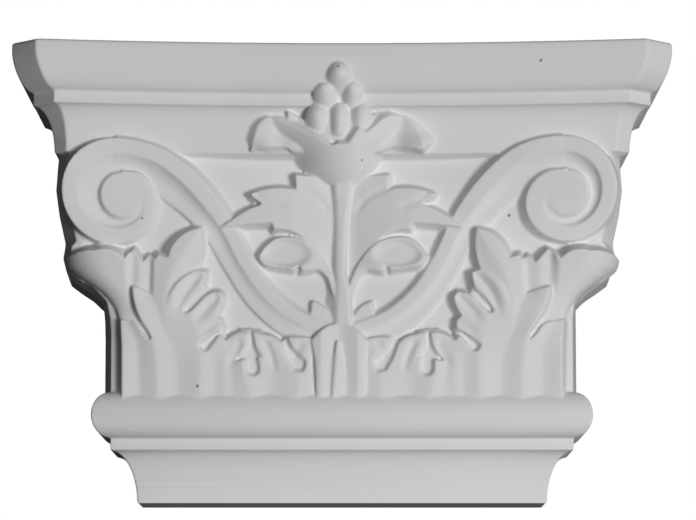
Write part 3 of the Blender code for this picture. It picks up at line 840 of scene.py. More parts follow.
def cauline_height(x, y):
    """Low beside the stem, lifting towards the points, with a rib along each."""
    ribs = sum(groove(x, y, rib) for rib in CAULINE_RIBS)
    return along(x, CAULINE_SLOPE) - CAULINE_FALL * ease(*CAULINE_FOOT, y) * ease(*CAULINE_INNER, x) + ribs


def curl_height(x, y):
    """A small dished leaf whose rim stands up."""
    dish = ((x - CURL_MIDDLE[0]) / CURL_HALVES[0]) ** 2 + ((y - CURL_MIDDLE[1]) / CURL_HALVES[1]) ** 2
    return CURL_OUT + CURL_RIM * ease(*CURL_RIM_BAND, dish) * ease(*CURL_INNER, x)


# The flat bract at the foot of the scroll
BRACT = [(3.0, 34.0), (7.0, 40.0, 0.1), (14.6, 45.2), (15.4, 36.6, 0.05), (6.0, 31.0)]
BRACT_OUT = 3.6

# The tongue in the middle and the lancet that lies in it. Both sink by their own fall towards the foot
TONGUE = [(-12.1, -4.0), (-12.9, 16.0), (-14.6, 26.0, 0.32), (11.6, 25.4), (11.0, 16.0), (10.9, -4.0)]
TONGUE_MIDDLE = -1.2
TONGUE_GUTTER = [(0, 5.6), (2.4, 5.9), (9.0, 7.9), (12.6, 7.0)]
TONGUE_FALL = 1.4
LANCET = [(-6.6, -2.6), (-4.8, 14.0, 0.02), (-2.3, 25.6, 0.02), (0.8, 14.0), (2.6, -2.6)]
LANCET_RIDGE = [(-3, -4.6), (26, -2.3)]
LANCET_OUT = 8.3
LANCET_GROUND = 6.0
LANCET_FALL = 1.6
LANCET_RIGHT = 0.3
LANCET_LEFT = 1.1
FOOT_BAND = (6, -3)


def tongue_height(x, y):
    """A gutter with raised rims, closed by its round top."""
    away = np.abs(x - TONGUE_MIDDLE)
    return along(away, TONGUE_GUTTER) - TONGUE_FALL * ease(*FOOT_BAND, y)


def lancet_height(x, y):
    """Steep on its left side and gently falling on its right."""
    ridge = along(y, LANCET_RIDGE)
    fall = np.where(x > ridge, LANCET_RIGHT * (x - ridge), LANCET_LEFT * (ridge - x))
    return LANCET_OUT - fall - LANCET_FALL * ease(*FOOT_BAND, y)


def moulding(across, up):
    """How far the soffit, cavetto, fillet and ovolo stand out from the bell."""
    profile = abacus_profile()
    height = up + BELL_FOOT - ABACUS_FOOT
    step = np.interp(height, [point[1] for point in profile], [point[0] for point in profile])
    bow = (ABACUS_BOW - ARRIS_SLIP * step) * (1 - (across / (ABACUS_HALF - step - HORN_CUT)) ** 2)
    return np.where(height < 0, 0.0, ARRIS_DEPTH - (1 + ARRIS_SLIP) * step - bow - BELL_DEPTH)


FLOWER = [
    (3.0, 119.9),
    (8.2, 127.6),
    (11.2, 125.0),
    (20.0, 132.8),
    (23.6, 134.6),
    (30.5, 134.5, 0.1),
    (37.6, 126.0, 0.05),
    (40.0, 116.9, -0.06),
    (27.0, 120.4, -0.2),
    (19.6, 118.0),
    (19.0, 114.6),
    (14.2, 108.8),
    (4.0, 101.8),
    (-6.8, 101.8),
    (-15.0, 106.8),
    (-21.2, 111.4),
    (-23.6, 116.4, -0.18),
    (-31.0, 120.4, -0.06),
    (-44.6, 118.0),
    (-41.3, 129.2, 0.15),
    (-35.0, 133.8, 0.06),
    (-28.6, 131.8),
    (-14.0, 124.9),
    (-6.2, 119.7),
]

# The flower's cup by height: its half width, how far out its middle stands, and how far out its sides stand
CUP_HALF = [
    (101, 5.5),
    (104, 11.0),
    (109, 17.6),
    (114, 20.6),
    (119, 22.0),
    (122, 24.0),
    (127, 28.0),
    (134, 33.0),
]
CUP_OUT = [
    (101, 5.0),
    (103.6, 7.4),
    (108, 12.4),
    (112.5, 16.2),
    (116, 18.8),
    (119.5, 21.0),
    (123, 22.0),
    (132, 22.6),
]
CUP_SIDE = [(101, 0.4), (114.5, 0.8), (118, 5.0), (122, 8.4), (128, 10.4), (135, 13.0)]
CUP_MIDDLE = 0.5
CUP_RIGHT = 0.9
CUP_LEFT = 1.12
CUP_POWER = 2.2

# Its petals: how far each stands out from the moulding, how much its tip curls up and over which part of it,
# and the hollow along it
PETAL_MIDDLE = -1.9
PETAL_RIGHT = 3.2
PETAL_LEFT = 1.4
PETAL_LEFT_RISE = 2.4
PETAL_LEFT_UP = (118, 125)
PETAL_TIP_DROP = 3
PETAL_TIP = (-44, -38)
CURL_LEFT = 2.0
CURL_LEFT_UP = (128, 119)
CURL_LEFT_ACROSS = (-44, -34)
CURL_RIGHT = 3.2
CURL_RIGHT_UP = (135, 120)
CURL_RIGHT_ACROSS = (26, 40)
PETAL_HOLLOW = 1.2
HOLLOW_PLACE = 28
HOLLOW_HALF = 8
PETAL_BLEND = 1.2
PETAL_FOOT = (116.0, 118.5)

# Its thin lip, above the cup: where it runs, how thick it is, and the slope of the sides on it and off it
LIP_LEFT = -28.2
LIP_RIGHT = 19.6
LIP_FOOT = 119.5
LIP_SLOPE = 0.1
LIP_THICKNESS = 2.0
LIP_DRAFT = 1.4
FLOWER_DRAFT = 0.12
PETAL_DRAFT = 0.9
PETAL_DRAFT_HEIGHTS = (118, 123)


def flower_height(x, y):
    """A cup that swells forward to its lip, and a petal each side that lies close to the moulding."""
    half = along(y, CUP_HALF) * np.where(x > CUP_MIDDLE, CUP_RIGHT, CUP_LEFT)
    middle = along(y, CUP_OUT)
    side = along(y, CUP_SIDE)
    cup = side + (middle - side) * (1 - np.clip(np.abs(x - CUP_MIDDLE) / half, 0, 1) ** CUP_POWER)
    curl = CURL_LEFT * ease(*CURL_LEFT_UP, y) * ease(*CURL_LEFT_ACROSS, x)
    curl = curl + CURL_RIGHT * ease(*CURL_RIGHT_ACROSS, x) * ease(*CURL_RIGHT_UP, y)
    tip = PETAL_LEFT + PETAL_LEFT_RISE * ease(*PETAL_LEFT_UP, y + PETAL_TIP_DROP * ease(*PETAL_TIP, x))
    away = np.abs(np.abs(x - PETAL_MIDDLE) - HOLLOW_PLACE) / HOLLOW_HALF
    hollow = PETAL_HOLLOW * ease(0, 1, 1 - away)
    petal = moulding(x, y) + np.where(x < 0, tip, PETAL_RIGHT) + curl - hollow
    blend = ease(-PETAL_BLEND, PETAL_BLEND, petal - cup) * ease(*PETAL_FOOT, y)
    return cup * (1 - blend) + petal * blend


def on_lip(x, y):
    """Whether a place lies on the flower's thin lip."""
    return (x > LIP_LEFT) & (x < LIP_RIGHT) & (y > LIP_FOOT + LIP_SLOPE * np.abs(x))


def flower_ground(x, y):
    """The lip stands free by its own thickness, and the rest goes down to the moulding."""
    return np.where(on_lip(x, y), flower_height(x, y) - LIP_THICKNESS, moulding(x, y))


def flower_draft(x, y):
    """How much the sides slope: most under the lip, much round the petals and little round the cup."""
    return np.where(on_lip(x, y), LIP_DRAFT, FLOWER_DRAFT + PETAL_DRAFT * ease(*PETAL_DRAFT_HEIGHTS, y))


# The shallow inside of the flower, round the foot of the berries
CALYX = [
    (-26.0, 128.0),
    (-26.4, 136.8),
    (-18.2, 132.6),
    (-14.0, 132.8),
    (12.0, 132.8),
    (14.6, 135.0),
    (19.6, 137.2),
    (22.0, 130.0),
    (8.0, 114.0),
    (-10.0, 114.0),
]
CALYX_STEP = ((-14.6, 123.4), (-11.0, 130.4), 0, 1.5, 0.0, 7.0, 0.05, 0.05)
CALYX_SINK = 4.4
CALYX_TOP = 130
CALYX_RIM = 1.4
CALYX_RIM_RISE = 2.6
CALYX_RIM_BAND = (-17, -23)
CALYX_DRAFT = 0.5


def calyx_height(x, y):
    """Sunk below the flower's face, but never below a low rim on the moulding."""
    inside = flower_height(x, np.minimum(y, CALYX_TOP)) - CALYX_SINK
    rim = moulding(x, y) + CALYX_RIM + CALYX_RIM_RISE * ease(*CALYX_RIM_BAND, x)
    return np.maximum(inside, rim) - crease(x, y, CALYX_STEP)


# Middle, half width, top, tail, how far out, lean forward above the middle and below it, and bluntness
BERRIES = [
    ((-1.5, 152.4), 6.1, 159.4, (-2.0, 137.0), 24.0, 0.35, 1.1, 1.8),
    ((-8.4, 143.6), 6.0, 149.7, (-6.3, 131.5), 17.6, 0.95, 0.5, 1.7),
    ((5.2, 143.8), 5.2, 150.0, (4.0, 131.5), 17.6, 0.95, 0.5, 1.7),
    ((-11.8, 133.6), 6.1, 140.6, (-9.0, 121.0), 15.8, 0.25, 0.25, 2.6),
    ((-1.3, 132.8), 5.2, 140.9, (-1.3, 122.6), 16.4, 0.25, 0.1, 8.0),
    ((9.2, 133.4), 5.8, 140.5, (7.6, 122.0), 15.8, 0.25, 0.25, 3.2),
]
BERRY_DEPTH = 5.2
BERRY_SEGMENTS = 36
BERRY_BEND = 1.5
BERRY_POLE = 0.05


def make_berry(i, centre, radius, top, tail, out, lift, dive, blunt):
    """A drop in low relief: round above and drawn down to its tail."""
    bm = bmesh.new()
    bmesh.ops.create_uvsphere(bm, u_segments=BERRY_SEGMENTS, v_segments=BERRY_SEGMENTS, radius=1)
    for vertex in bm.verts:
        x, y, z = vertex.co
        down = max(0.0, -z)
        narrow = (1 - down**blunt) / max(BERRY_POLE, math.sqrt(1 - min(1.0, down * down)))
        across = centre[0] + radius * x * narrow + (tail[0] - centre[0]) * down**BERRY_BEND
        up = centre[1] + ((top - centre[1]) * z if z > 0 else (centre[1] - tail[1]) * z)
        middle = out + (up - centre[1]) * (lift if z > 0 else dive)
        vertex.co = carved(across, up, middle - BERRY_DEPTH * y * abs(y) * narrow**2)
    return finish(bm, f"berry_{i + 1}")


# The middle of each volute, its eye, how far out its rim stands, its fascia's width, and its channel's depth
VOLUTE = (108.8, 97.6)
EYE = 10.2
EYE_CORE = 8.0
VOLUTE_CORE = 1.0
EYE_SIDES = 72
EYE_SHRINK = 1.4
EYE_SHRINK_TURNS = (190, 265)
EYE_MARGIN = 1.8
EYE_BLEND = (20, 11)
RIM_OUT = 5.2
FASCIA = 7.2
LEAST_HOLLOW = 0.5
LEAST_FASCIA = 0.3
CHANNEL = 3.6
CHANNEL_TURNS = (110, 275)
CHANNEL_SHARES = (0, 0.3, 0.55, 0.75, 0.9, 1)
VOLUTE_STEPS = 180

# How far its side slopes out, and how much more on its inner side, between these turns
VOLUTE_SPREAD = 1.8
SPREAD_MORE = 2.8
SPREAD_START = (185, 235)
SPREAD_END = (355, 310)

# Radius of the volute's edge at each turn clockwise from the top, in degrees
RIMS = [(0, 26.4), (90, 25.8), (180, 23.8), (225, 21.6), (270, 17.4), (315, 13.4), (360, 10.3)]

# The turns on each side of a turn whose radii are averaged, so that the edge runs smoothly
RIM_TURNS = (-18, -9, 0, 9, 18)

# How far each eye lies from the middle of its volute, across and up
EYE_PLACES = {1: (1.7, -0.8), -1: (-3.2, -0.8)}

# The volutes lie to the left by the lean, one up and the other down by the roll, and each slopes by the tilt
VOLUTE_LEAN = -1.2
ROLL = 0.6
VOLUTE_TILT = 0.06


def rim_radius(turn):
    """The radius of the volute's edge at a turn."""
    return float(sum(along(turn + step, RIMS) for step in RIM_TURNS) / len(RIM_TURNS))


def volute_section(turn):
    """(radius, out) points across the volute, from inside the eye to outside the rim."""
    edge = rim_radius(turn)
    eye = EYE - EYE_SHRINK * ease(*EYE_SHRINK_TURNS, turn)
    sunk = CHANNEL * (1 - ease(*CHANNEL_TURNS, turn))
    foot = eye + EYE_MARGIN
    flat = max(foot + LEAST_HOLLOW, edge - FASCIA)
    spread = VOLUTE_SPREAD + SPREAD_MORE * ease(*SPREAD_START, turn) * ease(*SPREAD_END, turn)
    points = [(VOLUTE_CORE, BEDDING), (VOLUTE_CORE, RIM_OUT), (eye, RIM_OUT)]
    for share in CHANNEL_SHARES:
        points.append((foot + (flat - foot) * share, RIM_OUT - sunk * (1 - share**3)))
    edge = max(edge, flat + LEAST_FASCIA)
    return [*points, (edge, RIM_OUT), (edge + spread, SIDE_FOOT), (edge + spread, BEDDING)]


RIBBON_RISE = 3.2
RIBBON_HEIGHTS = (94, 116)


def rise(up):
    """The ribbon comes forward a little as it passes over the soffit."""
    return RIBBON_RISE * ease(*RIBBON_HEIGHTS, up)


def polar(turn, radius, out, side):
    """World place of a point of the volute: its turn clockwise from the top, and how far from the middle."""
    angle = math.radians(turn)
    inner = ease(*EYE_BLEND, radius)
    across = VOLUTE[0] + side * VOLUTE_LEAN + radius * math.sin(angle) + EYE_PLACES[side][0] * inner
    up = VOLUTE[1] + radius * math.cos(angle) + EYE_PLACES[side][1] * inner + ROLL * side
    tilt = VOLUTE_TILT * side * radius * math.sin(angle)
    return carved(across, up, out + (rise(up) - tilt if out > 0 else 0), side)


def make_volute(side):
    """The spiral of one volute, and its eye."""
    bm = bmesh.new()
    rings = []
    for i in range(VOLUTE_STEPS + 1):
        turn = 360 * i / VOLUTE_STEPS
        rings.append([polar(turn, radius, out, side) for radius, out in volute_section(turn)])
    loft(bm, rings)
    made = [finish(bm, f"volute_{side}")]
    bm = bmesh.new()
    rings = []
    for out in (BEDDING, 0.0, RIM_OUT):
        rings.append([polar(360 * i / EYE_SIDES, EYE_CORE, out, side) for i in range(EYE_SIDES)])
    loft(bm, rings)
    return [*made, finish(bm, f"eye_{side}")]


# The upper edge of the scroll from the foot of the stem to the top of the volute
SCROLL_EDGE = [
    (4.0, 33.3),
    (21.4, 40.4),
    (34.8, 51.9),
    (44.9, 67.2),
    (54.4, 86.4),
    (66.5, 103.0),
    (81.5, 116.4),
    (94.5, 122.1),
    (108.8, 124.0),
]
SCROLL_STEPS = 160
SCROLL_AHEAD = 0.01

# Where along the scroll it takes on the shift and the tilt of its volute
SHIFT_SHARES = (0.3, 0.9)
TILT_SHARES = (0.7, 1)

# Across the scroll, by the share of its length: the fascia's width, how far out its edge is, and the depth of
# its hollow. Then its whole width, where the hollow's floor ends, and its two sloping sides
SCROLL_FASCIA = [(0, 4.6), (0.35, 6.0), (0.45, 6.2), (0.58, 7.6), (1, FASCIA)]
SCROLL_OUT = [(0, 4.6), (0.4, 4.8), (0.55, 6.0), (0.8, 6.2), (1, RIM_OUT)]
SCROLL_SUNK = [(0, 1.6), (0.35, 2.3), (0.55, 3.0), (0.65, 4.2), (0.85, 4.4), (1, CHANNEL)]
SCROLL_WIDTH = 13.4
SCROLL_WIDER = 6.2
SCROLL_WIDENS = (0.36, 0.75)
SCROLL_FLOOR = 0.86
UPPER_SIDE = 3.9
LOWER_SIDE = 1.6
LOWER_RIM = 0.2
SCROLL_SHARES = (1, 0.88, 0.7, 0.45, 0.2, 0)


def spline(points, share):
    """A smooth curve through the points, from 0 to 1."""
    span = share * (len(points) - 1)
    i = min(int(span), len(points) - 2)
    t = span - i
    p1, p2 = Vector(points[i]), Vector(points[i + 1])
    p0 = Vector(points[i - 1]) if i else p1 * 2 - p2
    p3 = Vector(points[i + 2]) if i + 2 < len(points) else Vector((p2.x * 2 - p1.x, p1.y))
    cubic = p1 * 3 - p0 - p2 * 3 + p3
    return (p1 * 2 + (p2 - p0) * t + (p0 * 2 - p1 * 5 + p2 * 4 - p3) * t * t + cubic * t**3) / 2


def scroll_section(share):
    """(distance from the upper edge, out) across the scroll: fascia, hollow, floor and lower rim."""
    size = SCROLL_WIDTH + SCROLL_WIDER * ease(*SCROLL_WIDENS, share)
    fascia = along(share, SCROLL_FASCIA)
    high = along(share, SCROLL_OUT)
    sunk = along(share, SCROLL_SUNK)
    floor = size * SCROLL_FLOOR
    foot = size + LOWER_SIDE
    points = [(-UPPER_SIDE, SIDE_FOOT), (0.0, high)]
    for step in SCROLL_SHARES:
        points.append((fascia + (floor - fascia) * (1 - step), high - sunk * (1 - step**3)))
    points += [(size, high - sunk - LOWER_RIM), (foot, SIDE_FOOT), (foot, BEDDING), (-UPPER_SIDE, BEDDING)]
    return points


def make_scroll(side):
    """The scroll from the foot of the stem up to its volute."""
    bm = bmesh.new()
    rings = []
    for i in range(SCROLL_STEPS + 1):
        share = i / SCROLL_STEPS
        here = spline(SCROLL_EDGE, share)
        ahead = spline(SCROLL_EDGE, min(1.0, share + SCROLL_AHEAD))
        ahead -= spline(SCROLL_EDGE, max(0.0, share - SCROLL_AHEAD))
        ahead.normalize()
        down = Vector((ahead.y, -ahead.x))
        shift = Vector((VOLUTE_LEAN, ROLL)) * (side * ease(*SHIFT_SHARES, share))
        ring = []
        for t, out in scroll_section(share):
            place = here + down * t + shift
            tilt = VOLUTE_TILT * side * (place.x - VOLUTE[0]) * ease(*TILT_SHARES, share)
            ring.append(carved(*place, out + (rise(place.y) - tilt if out > 0 else 0), side))
        rings.append(ring)
    loft(bm, rings)
    return finish(bm, f"scroll_{side}")


# The stem by height: its left edge, its right edge, how far out its front is, and its left side's width
STEM_LEFT = [(24, -8.0), (45, -7.6), (60, -6.2), (85, -6.0), (104, -7.4)]
STEM_RIGHT = [(24, 5.0), (45, 4.0), (60, 1.4), (85, 2.4), (104, 5.0)]
STEM_OUT = [(24, 5.6), (45, 5.8), (60, 5.4), (85, 5.0), (97, 5.4), (104, 7.0)]
STEM_STEEP = [(24, 4.6), (50, 4.4), (62, 2.8), (104, 3.4)]
STEM_EDGE = 0.6
STEM_FACET = 1.4
STEM_RIGHT_SIDE = 1.2
STEM_SLOPE = 0.2
STEM_ARRIS = 1.0
STEM_FOOT = 24
STEM_RING_STEP = 2
STEM_RINGS = 42


def make_stem():
    """A stem with a steep left side, a flat front and a short right side, swelling up into the flower."""
    bm = bmesh.new()
    rings = []
    for i in range(STEM_RINGS):
        up = STEM_FOOT + STEM_RING_STEP * i
        left, right = along(up, STEM_LEFT), along(up, STEM_RIGHT)
        out = along(up, STEM_OUT)
        flat = left + along(up, STEM_STEEP)
        ring = [
            (left - STEM_EDGE, SIDE_FOOT),
            (left, STEM_EDGE),
            (flat, out - STEM_ARRIS),
            (flat + STEM_FACET, out - STEM_SLOPE),
            (right - STEM_RIGHT_SIDE, out),
            (right, out - STEM_EDGE),
            (right + STEM_RIGHT_SIDE, 0.0),
            (right + STEM_RIGHT_SIDE, BEDDING),
            (left - STEM_EDGE, BEDDING),
        ]
        rings.append([carved(across, up, place) for across, place in ring])
    loft(bm, rings)
    return finish(bm, "stem")


# (up, front edge across, front edge out, wall edge across) of the plain side behind the leaf and volute
CHEEK = [
    (-4.0, 111.4, -0.2, 115.6),
    (28.0, 111.4, -0.1, 115.6),
    (37.0, 111.8, 0.4, 115.8),
    (45.0, 113.2, 1.0, 116.4),
    (47.5, 115.0, 1.0, 119.4),
    (51.0, 118.4, 1.0, 123.0),
    (55.0, 122.8, 0.0, 129.0),
    (59.0, 127.2, -1.0, 134.4),
    (62.0, 129.0, -1.0, 135.6),
    (68.0, 131.0, 1.0, 136.8),
    (72.4, 130.5, 1.0, 135.8),
    (75.0, 128.0, 1.0, 136.0),
    (88.0, 131.0, 1.0, 138.6),
    (100.0, 132.5, 1.0, 140.0),
    (112.0, 131.5, 1.0, 139.0),
    (118.0, 131.0, 1.0, 138.4),
]
SIDE_LEAN = -1.4

# How far the side reaches in behind the carving, how far its face lies back there, and where it bends
CHEEK_INNER = 14
CHEEK_BACK = 4.0
CHEEK_EDGE = 4
CHEEK_ROUND = 1.0
CHEEK_BEND = 0.8
CHEEK_BEND_BACK = 14.0


def make_cheek(side):
    """The plain side of the capital, which spreads towards the wall."""
    bm = bmesh.new()
    rings = []
    inner = NECK_HALF - CHEEK_INNER
    for up, front, out, edge in CHEEK:
        bend = front + CHEEK_BEND * (edge - front)
        ring = [(inner, out - CHEEK_BACK), (front - CHEEK_EDGE, out)]
        ring += [(front, out - CHEEK_ROUND), (bend, out - CHEEK_BEND_BACK)]
        ring = [carved(across + side * SIDE_LEAN, up, place, side) for across, place in ring]
        ring += [Vector((side * across + SIDE_LEAN, BACK, BELL_FOOT + up)) * MM for across in (edge, inner)]
        rings.append(ring)
    loft(bm, rings)
    return finish(bm, f"cheek_{side}")


# (across, height, radius) of the small air holes in the plaster's face, drawn only as painted shade in the
# colour
AIR_HOLE_SHADES = [
    (96.1, 211.4, 1.0),
    (-70.1, 55.7, 1.0),
    (81.6, 139.5, 1.0),
    (-97.3, 137.4, 0.7),
    (-1.9, 209.0, 0.8),
    (9.7, 165.3, 0.8),
]


def hole_shade_places(whole):
    """Where the painted shade of each air hole lies on the face of the piece, with its radius."""
    places = []
    for across, height, radius in AIR_HOLE_SHADES:
        start = Vector((across, -2 * BACK, height)) * MM
        hit, place = whole.ray_cast(start, Vector((0, 1, 0)))[:2]
        if hit:
            places.append((place, radius * MM))
    return places


def cast(pieces, voxel, triangles):
    """The pieces become one closed skin, as one casting has, then it is thinned where it is flat."""
    bm = bmesh.new()
    for piece in pieces:
        bm.from_mesh(piece.data)
        mesh = piece.data
        bpy.data.objects.remove(piece)
        bpy.data.meshes.remove(mesh)
    whole = finish(bm, "plaster_capital")
    remesh = whole.modifiers.new("skin", "REMESH")
    remesh.mode = "VOXEL"
    remesh.voxel_size = voxel
    smooth = whole.modifiers.new("softened", "SMOOTH")
    smooth.factor = SMOOTHING
    smooth.iterations = SMOOTHING_ROUNDS
    graph = bpy.context.evaluated_depsgraph_get()
    mesh = bpy.data.meshes.new_from_object(whole.evaluated_get(graph))
    whole.modifiers.clear()
    whole.data = mesh
    mesh.calc_loop_triangles()
    faces = len(mesh.loop_triangles)
    thin = whole.modifiers.new("thinned", "DECIMATE")
    thin.ratio = min(1.0, triangles / faces)
    graph = bpy.context.evaluated_depsgraph_get()
    whole.data = bpy.data.meshes.new_from_object(whole.evaluated_get(graph))
    whole.modifiers.clear()
    whole.data.name = "plaster_capital"
    whole.data.polygons.foreach_set("use_smooth", [True] * len(whole.data.polygons))
    return whole


def plaster_with_hole_shade_material(color, places):
    """Matt plaster with faint clouds, a fine grain, and painted shade for an air hole at each of the places.
    """
    material = bpy.data.materials.new("plaster")
    material.use_nodes = True
    nodes, links = material.node_tree.nodes, material.node_tree.links
    shader = nodes["Principled BSDF"]
    shader.inputs["Roughness"].default_value = PLASTER_ROUGHNESS
    shader.inputs["Specular IOR Level"].default_value = PLASTER_SPECULAR
    where = nodes.new("ShaderNodeTexCoord")
    cloud = nodes.new("ShaderNodeTexNoise")
    cloud.inputs["Scale"].default_value = CLOUD_SCALE
    cloud.inputs["Detail"].default_value = CLOUD_DETAIL
    links.new(where.outputs["Object"], cloud.inputs["Vector"])
    tones = nodes.new("ShaderNodeValToRGB")
    dark, light = tones.color_ramp.elements
    dark.position, light.position = CLOUD_RANGE
    dark.color = (*[c * CLOUD_TONE for c in color], 1)
    light.color = (*color, 1)
    links.new(cloud.outputs["Fac"], tones.inputs["Fac"])
    tone = tones.outputs["Color"]
    # Each air hole is only painted shade: the colour darkens towards its middle, with no hollow in the skin
    for place, radius in places:
        away = nodes.new("ShaderNodeVectorMath")
        away.operation = "DISTANCE"
        away.inputs[1].default_value = place
        links.new(where.outputs["Object"], away.inputs[0])
        shade = nodes.new("ShaderNodeMapRange")
        shade.inputs["From Min"].default_value = radius * HOLE_SHADE_CORE
        shade.inputs["From Max"].default_value = radius
        shade.inputs["To Min"].default_value = HOLE_SHADE_TONE
        links.new(away.outputs["Value"], shade.inputs["Value"])
        dim = nodes.new("ShaderNodeVectorMath")
        dim.operation = "SCALE"
        links.new(tone, dim.inputs[0])
        links.new(shade.outputs["Result"], dim.inputs["Scale"])
        tone = dim.outputs["Vector"]
    links.new(tone, shader.inputs["Base Color"])
    grain = nodes.new("ShaderNodeTexNoise")
    grain.inputs["Scale"].default_value = GRAIN_SCALE
    grain.inputs["Detail"].default_value = GRAIN_DETAIL
    links.new(where.outputs["Object"], grain.inputs["Vector"])
    bump = nodes.new("ShaderNodeBump")
    bump.inputs["Strength"].default_value = GRAIN_STRENGTH
    bump.inputs["Distance"].default_value = GRAIN_DEPTH
    links.new(grain.outputs["Fac"], bump.inputs["Height"])
    links.new(bump.outputs["Normal"], shader.inputs["Normal"])
    return material


def floor_material():
    """Matt from above and clear from below, so that the floor never hides the part from a low camera."""
    material = bpy.data.materials.new("floor")
    material.use_nodes = True
    nodes, links = material.node_tree.nodes, material.node_tree.links
    shader = nodes["Principled BSDF"]
    shader.inputs["Base Color"].default_value = (*FLOOR_COLOR, 1)
    shader.inputs["Roughness"].default_value = FLOOR_ROUGHNESS
    clear = nodes.new("ShaderNodeBsdfTransparent")
    side = nodes.new("ShaderNodeNewGeometry")
    mix = nodes.new("ShaderNodeMixShader")
    links.new(side.outputs["Backfacing"], mix.inputs["Fac"])
    links.new(shader.outputs["BSDF"], mix.inputs[1])
    links.new(clear.outputs["BSDF"], mix.inputs[2])
    links.new(mix.outputs["Shader"], nodes["Material Output"].inputs["Surface"])
    return material


class CapitalSettings(bpy.types.PropertyGroup):
    voxel: FloatProperty(
        name="Skin cell",
        description="Size of the cells that the casting's skin is cut into",
        default=0.00065,
        unit="LENGTH",
    )
    triangles: IntProperty(
        name="Triangles",
        description="About how many triangles the casting keeps",
        default=185000,
    )
    color: FloatVectorProperty(
        name="Plaster color",
        description="Color of the clean plaster",
        subtype="COLOR",
        default=(0.8, 0.8, 0.79),
    )
    key_power: FloatProperty(
        name="Key light",
        description="Power of the large light at the front, on the right",
        default=24.0,
        unit="POWER",
    )


class CAPITAL_OT_casting(bpy.types.Operator):
    """Build the capital as one plaster casting"""

    bl_idname = "capital.casting"
    bl_label = "Casting"

    def execute(self, context):
        settings = context.scene.capital
        pieces = [make_base(), make_bell(), make_abacus(), make_stem()]
        for side in (1, -1):
            pieces += [make_cheek(side), make_scroll(side), *make_volute(side)]
            leaf = (FOLIAGE, foliage_height, foliage_ground, side, foliage_draft, lean)
            pieces.append(plate(f"foliage_{side}", *leaf))
            for i, gap in enumerate(GAPS):
                pieces.append(plate(f"web_{side}_{i}", capsule(*gap), web_height, 0.0, side, WEB_DRAFT, lean))
            pieces.append(plate(f"skirt_{side}", SKIRT, skirt_height, SKIRT_GROUND, side, SKIRT_DRAFT, lean))
            pieces.append(plate(f"strip_{side}", STRIP, strip_height, 0.0, side, 0.0))
            pieces.append(plate(f"cauline_{side}", CAULINE, cauline_height, 0.0, side))
            pieces.append(plate(f"curl_{side}", CURL, curl_height, 0.0, side))
            pieces.append(plate(f"bract_{side}", BRACT, BRACT_OUT, 0.0, side))
        pieces.append(plate("tongue", TONGUE, tongue_height, 0.0))
        pieces.append(plate("lancet", LANCET, lancet_height, LANCET_GROUND))
        pieces.append(plate("flower", FLOWER, flower_height, flower_ground, 1, flower_draft))
        pieces.append(plate("calyx", CALYX, calyx_height, moulding, 1, CALYX_DRAFT))
        for i, berry in enumerate(BERRIES):
            pieces.append(make_berry(i, *berry))
        whole = cast(pieces, settings.voxel, settings.triangles)
        whole.data.materials.append(plaster_with_hole_shade_material(settings.color, hole_shade_places(whole)))
        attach(whole, "root")
        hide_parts("capital")
        return {"FINISHED"}


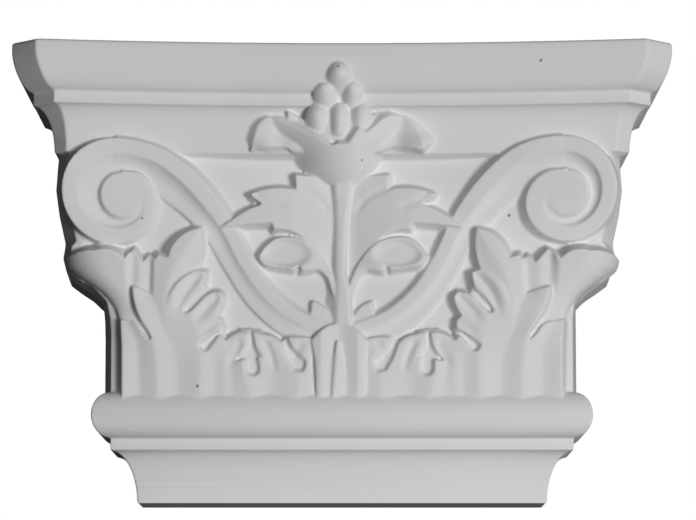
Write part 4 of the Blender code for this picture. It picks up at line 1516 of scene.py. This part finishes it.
class CAPITAL_OT_stage(bpy.types.Operator):
    """Add the floor, the lights, the background and the camera"""

    bl_idname = "capital.stage"
    bl_label = "Stage"

    def execute(self, context):
        scene = context.scene
        bm = bmesh.new()
        bmesh.ops.create_grid(bm, x_segments=1, y_segments=1, size=FLOOR_HALF)
        bmesh.ops.translate(bm, verts=bm.verts[:], vec=(0, FLOOR_HALF - FLOOR_FRONT, -FLOOR_DROP))
        floor = finish(bm, "floor")
        floor.data.materials.append(floor_material())
        floor.visible_shadow = False
        for name, place, size, power in (
            ("key", KEY_PLACE, KEY_SIZE, scene.capital.key_power),
            ("fill", FILL_PLACE, FILL_SIZE, scene.capital.key_power * FILL_SHARE),
        ):
            light = bpy.data.lights.new(name, "AREA")
            light.energy = power
            light.shape = "RECTANGLE"
            light.size, light.size_y = size
            lamp = bpy.data.objects.new(name, light)
            lamp.location = place
            aim = Vector(LIGHT_AIM) - Vector(place)
            lamp.rotation_euler = aim.to_track_quat("-Z", "Y").to_euler()
            scene.collection.objects.link(lamp)
        world = bpy.data.worlds.new("studio")
        world.use_nodes = True
        nodes, links = world.node_tree.nodes, world.node_tree.links
        nodes["Background"].inputs["Color"].default_value = BACKGROUND
        path = nodes.new("ShaderNodeLightPath")
        level = nodes.new("ShaderNodeMapRange")
        level.inputs["To Min"].default_value = SURROUND_LIGHT
        links.new(path.outputs["Is Camera Ray"], level.inputs["Value"])
        links.new(level.outputs["Result"], nodes["Background"].inputs["Strength"])
        scene.world = world
        camera_data = bpy.data.cameras.new("camera")
        camera_data.sensor_width = SENSOR_WIDTH
        camera_data.lens = SENSOR_WIDTH * FOCAL_PIXELS / FRAME_PIXELS
        camera_data.shift_x = (FRAME_PIXELS / 2 - VANISHING_PIXEL) / FRAME_PIXELS
        camera = bpy.data.objects.new("camera", camera_data)
        camera.location = Vector((0, BACK - CAMERA_OUT, CAMERA_UP)) * MM
        camera.rotation_euler = Euler((math.radians(90 + CAMERA_PITCH), 0, 0))
        scene.collection.objects.link(camera)
        scene.camera = camera
        scene.view_settings.view_transform = "Standard"
        return {"FINISHED"}


class CAPITAL_PT_panel(bpy.types.Panel):
    bl_idname = "CAPITAL_PT_panel"
    bl_label = "Capital"
    bl_space_type = "VIEW_3D"
    bl_region_type = "UI"
    bl_category = "Capital"

    def draw(self, context):
        for name in ("voxel", "triangles", "color", "key_power"):
            self.layout.prop(context.scene.capital, name)
        self.layout.operator(CAPITAL_OT_casting.bl_idname)
        self.layout.operator(CAPITAL_OT_stage.bl_idname)


CLASSES = (CapitalSettings, CAPITAL_OT_casting, CAPITAL_OT_stage, CAPITAL_PT_panel)


def register():
    for cls in CLASSES:
        bpy.utils.register_class(cls)
    bpy.types.Scene.capital = bpy.props.PointerProperty(type=CapitalSettings)


def unregister():
    del bpy.types.Scene.capital
    for cls in reversed(CLASSES):
        bpy.utils.unregister_class(cls)


def main():
    register()
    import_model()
    bpy.ops.capital.casting()
    bpy.ops.capital.stage()
    bpy.context.view_layer.update()


if __name__ == "__main__":
    main()
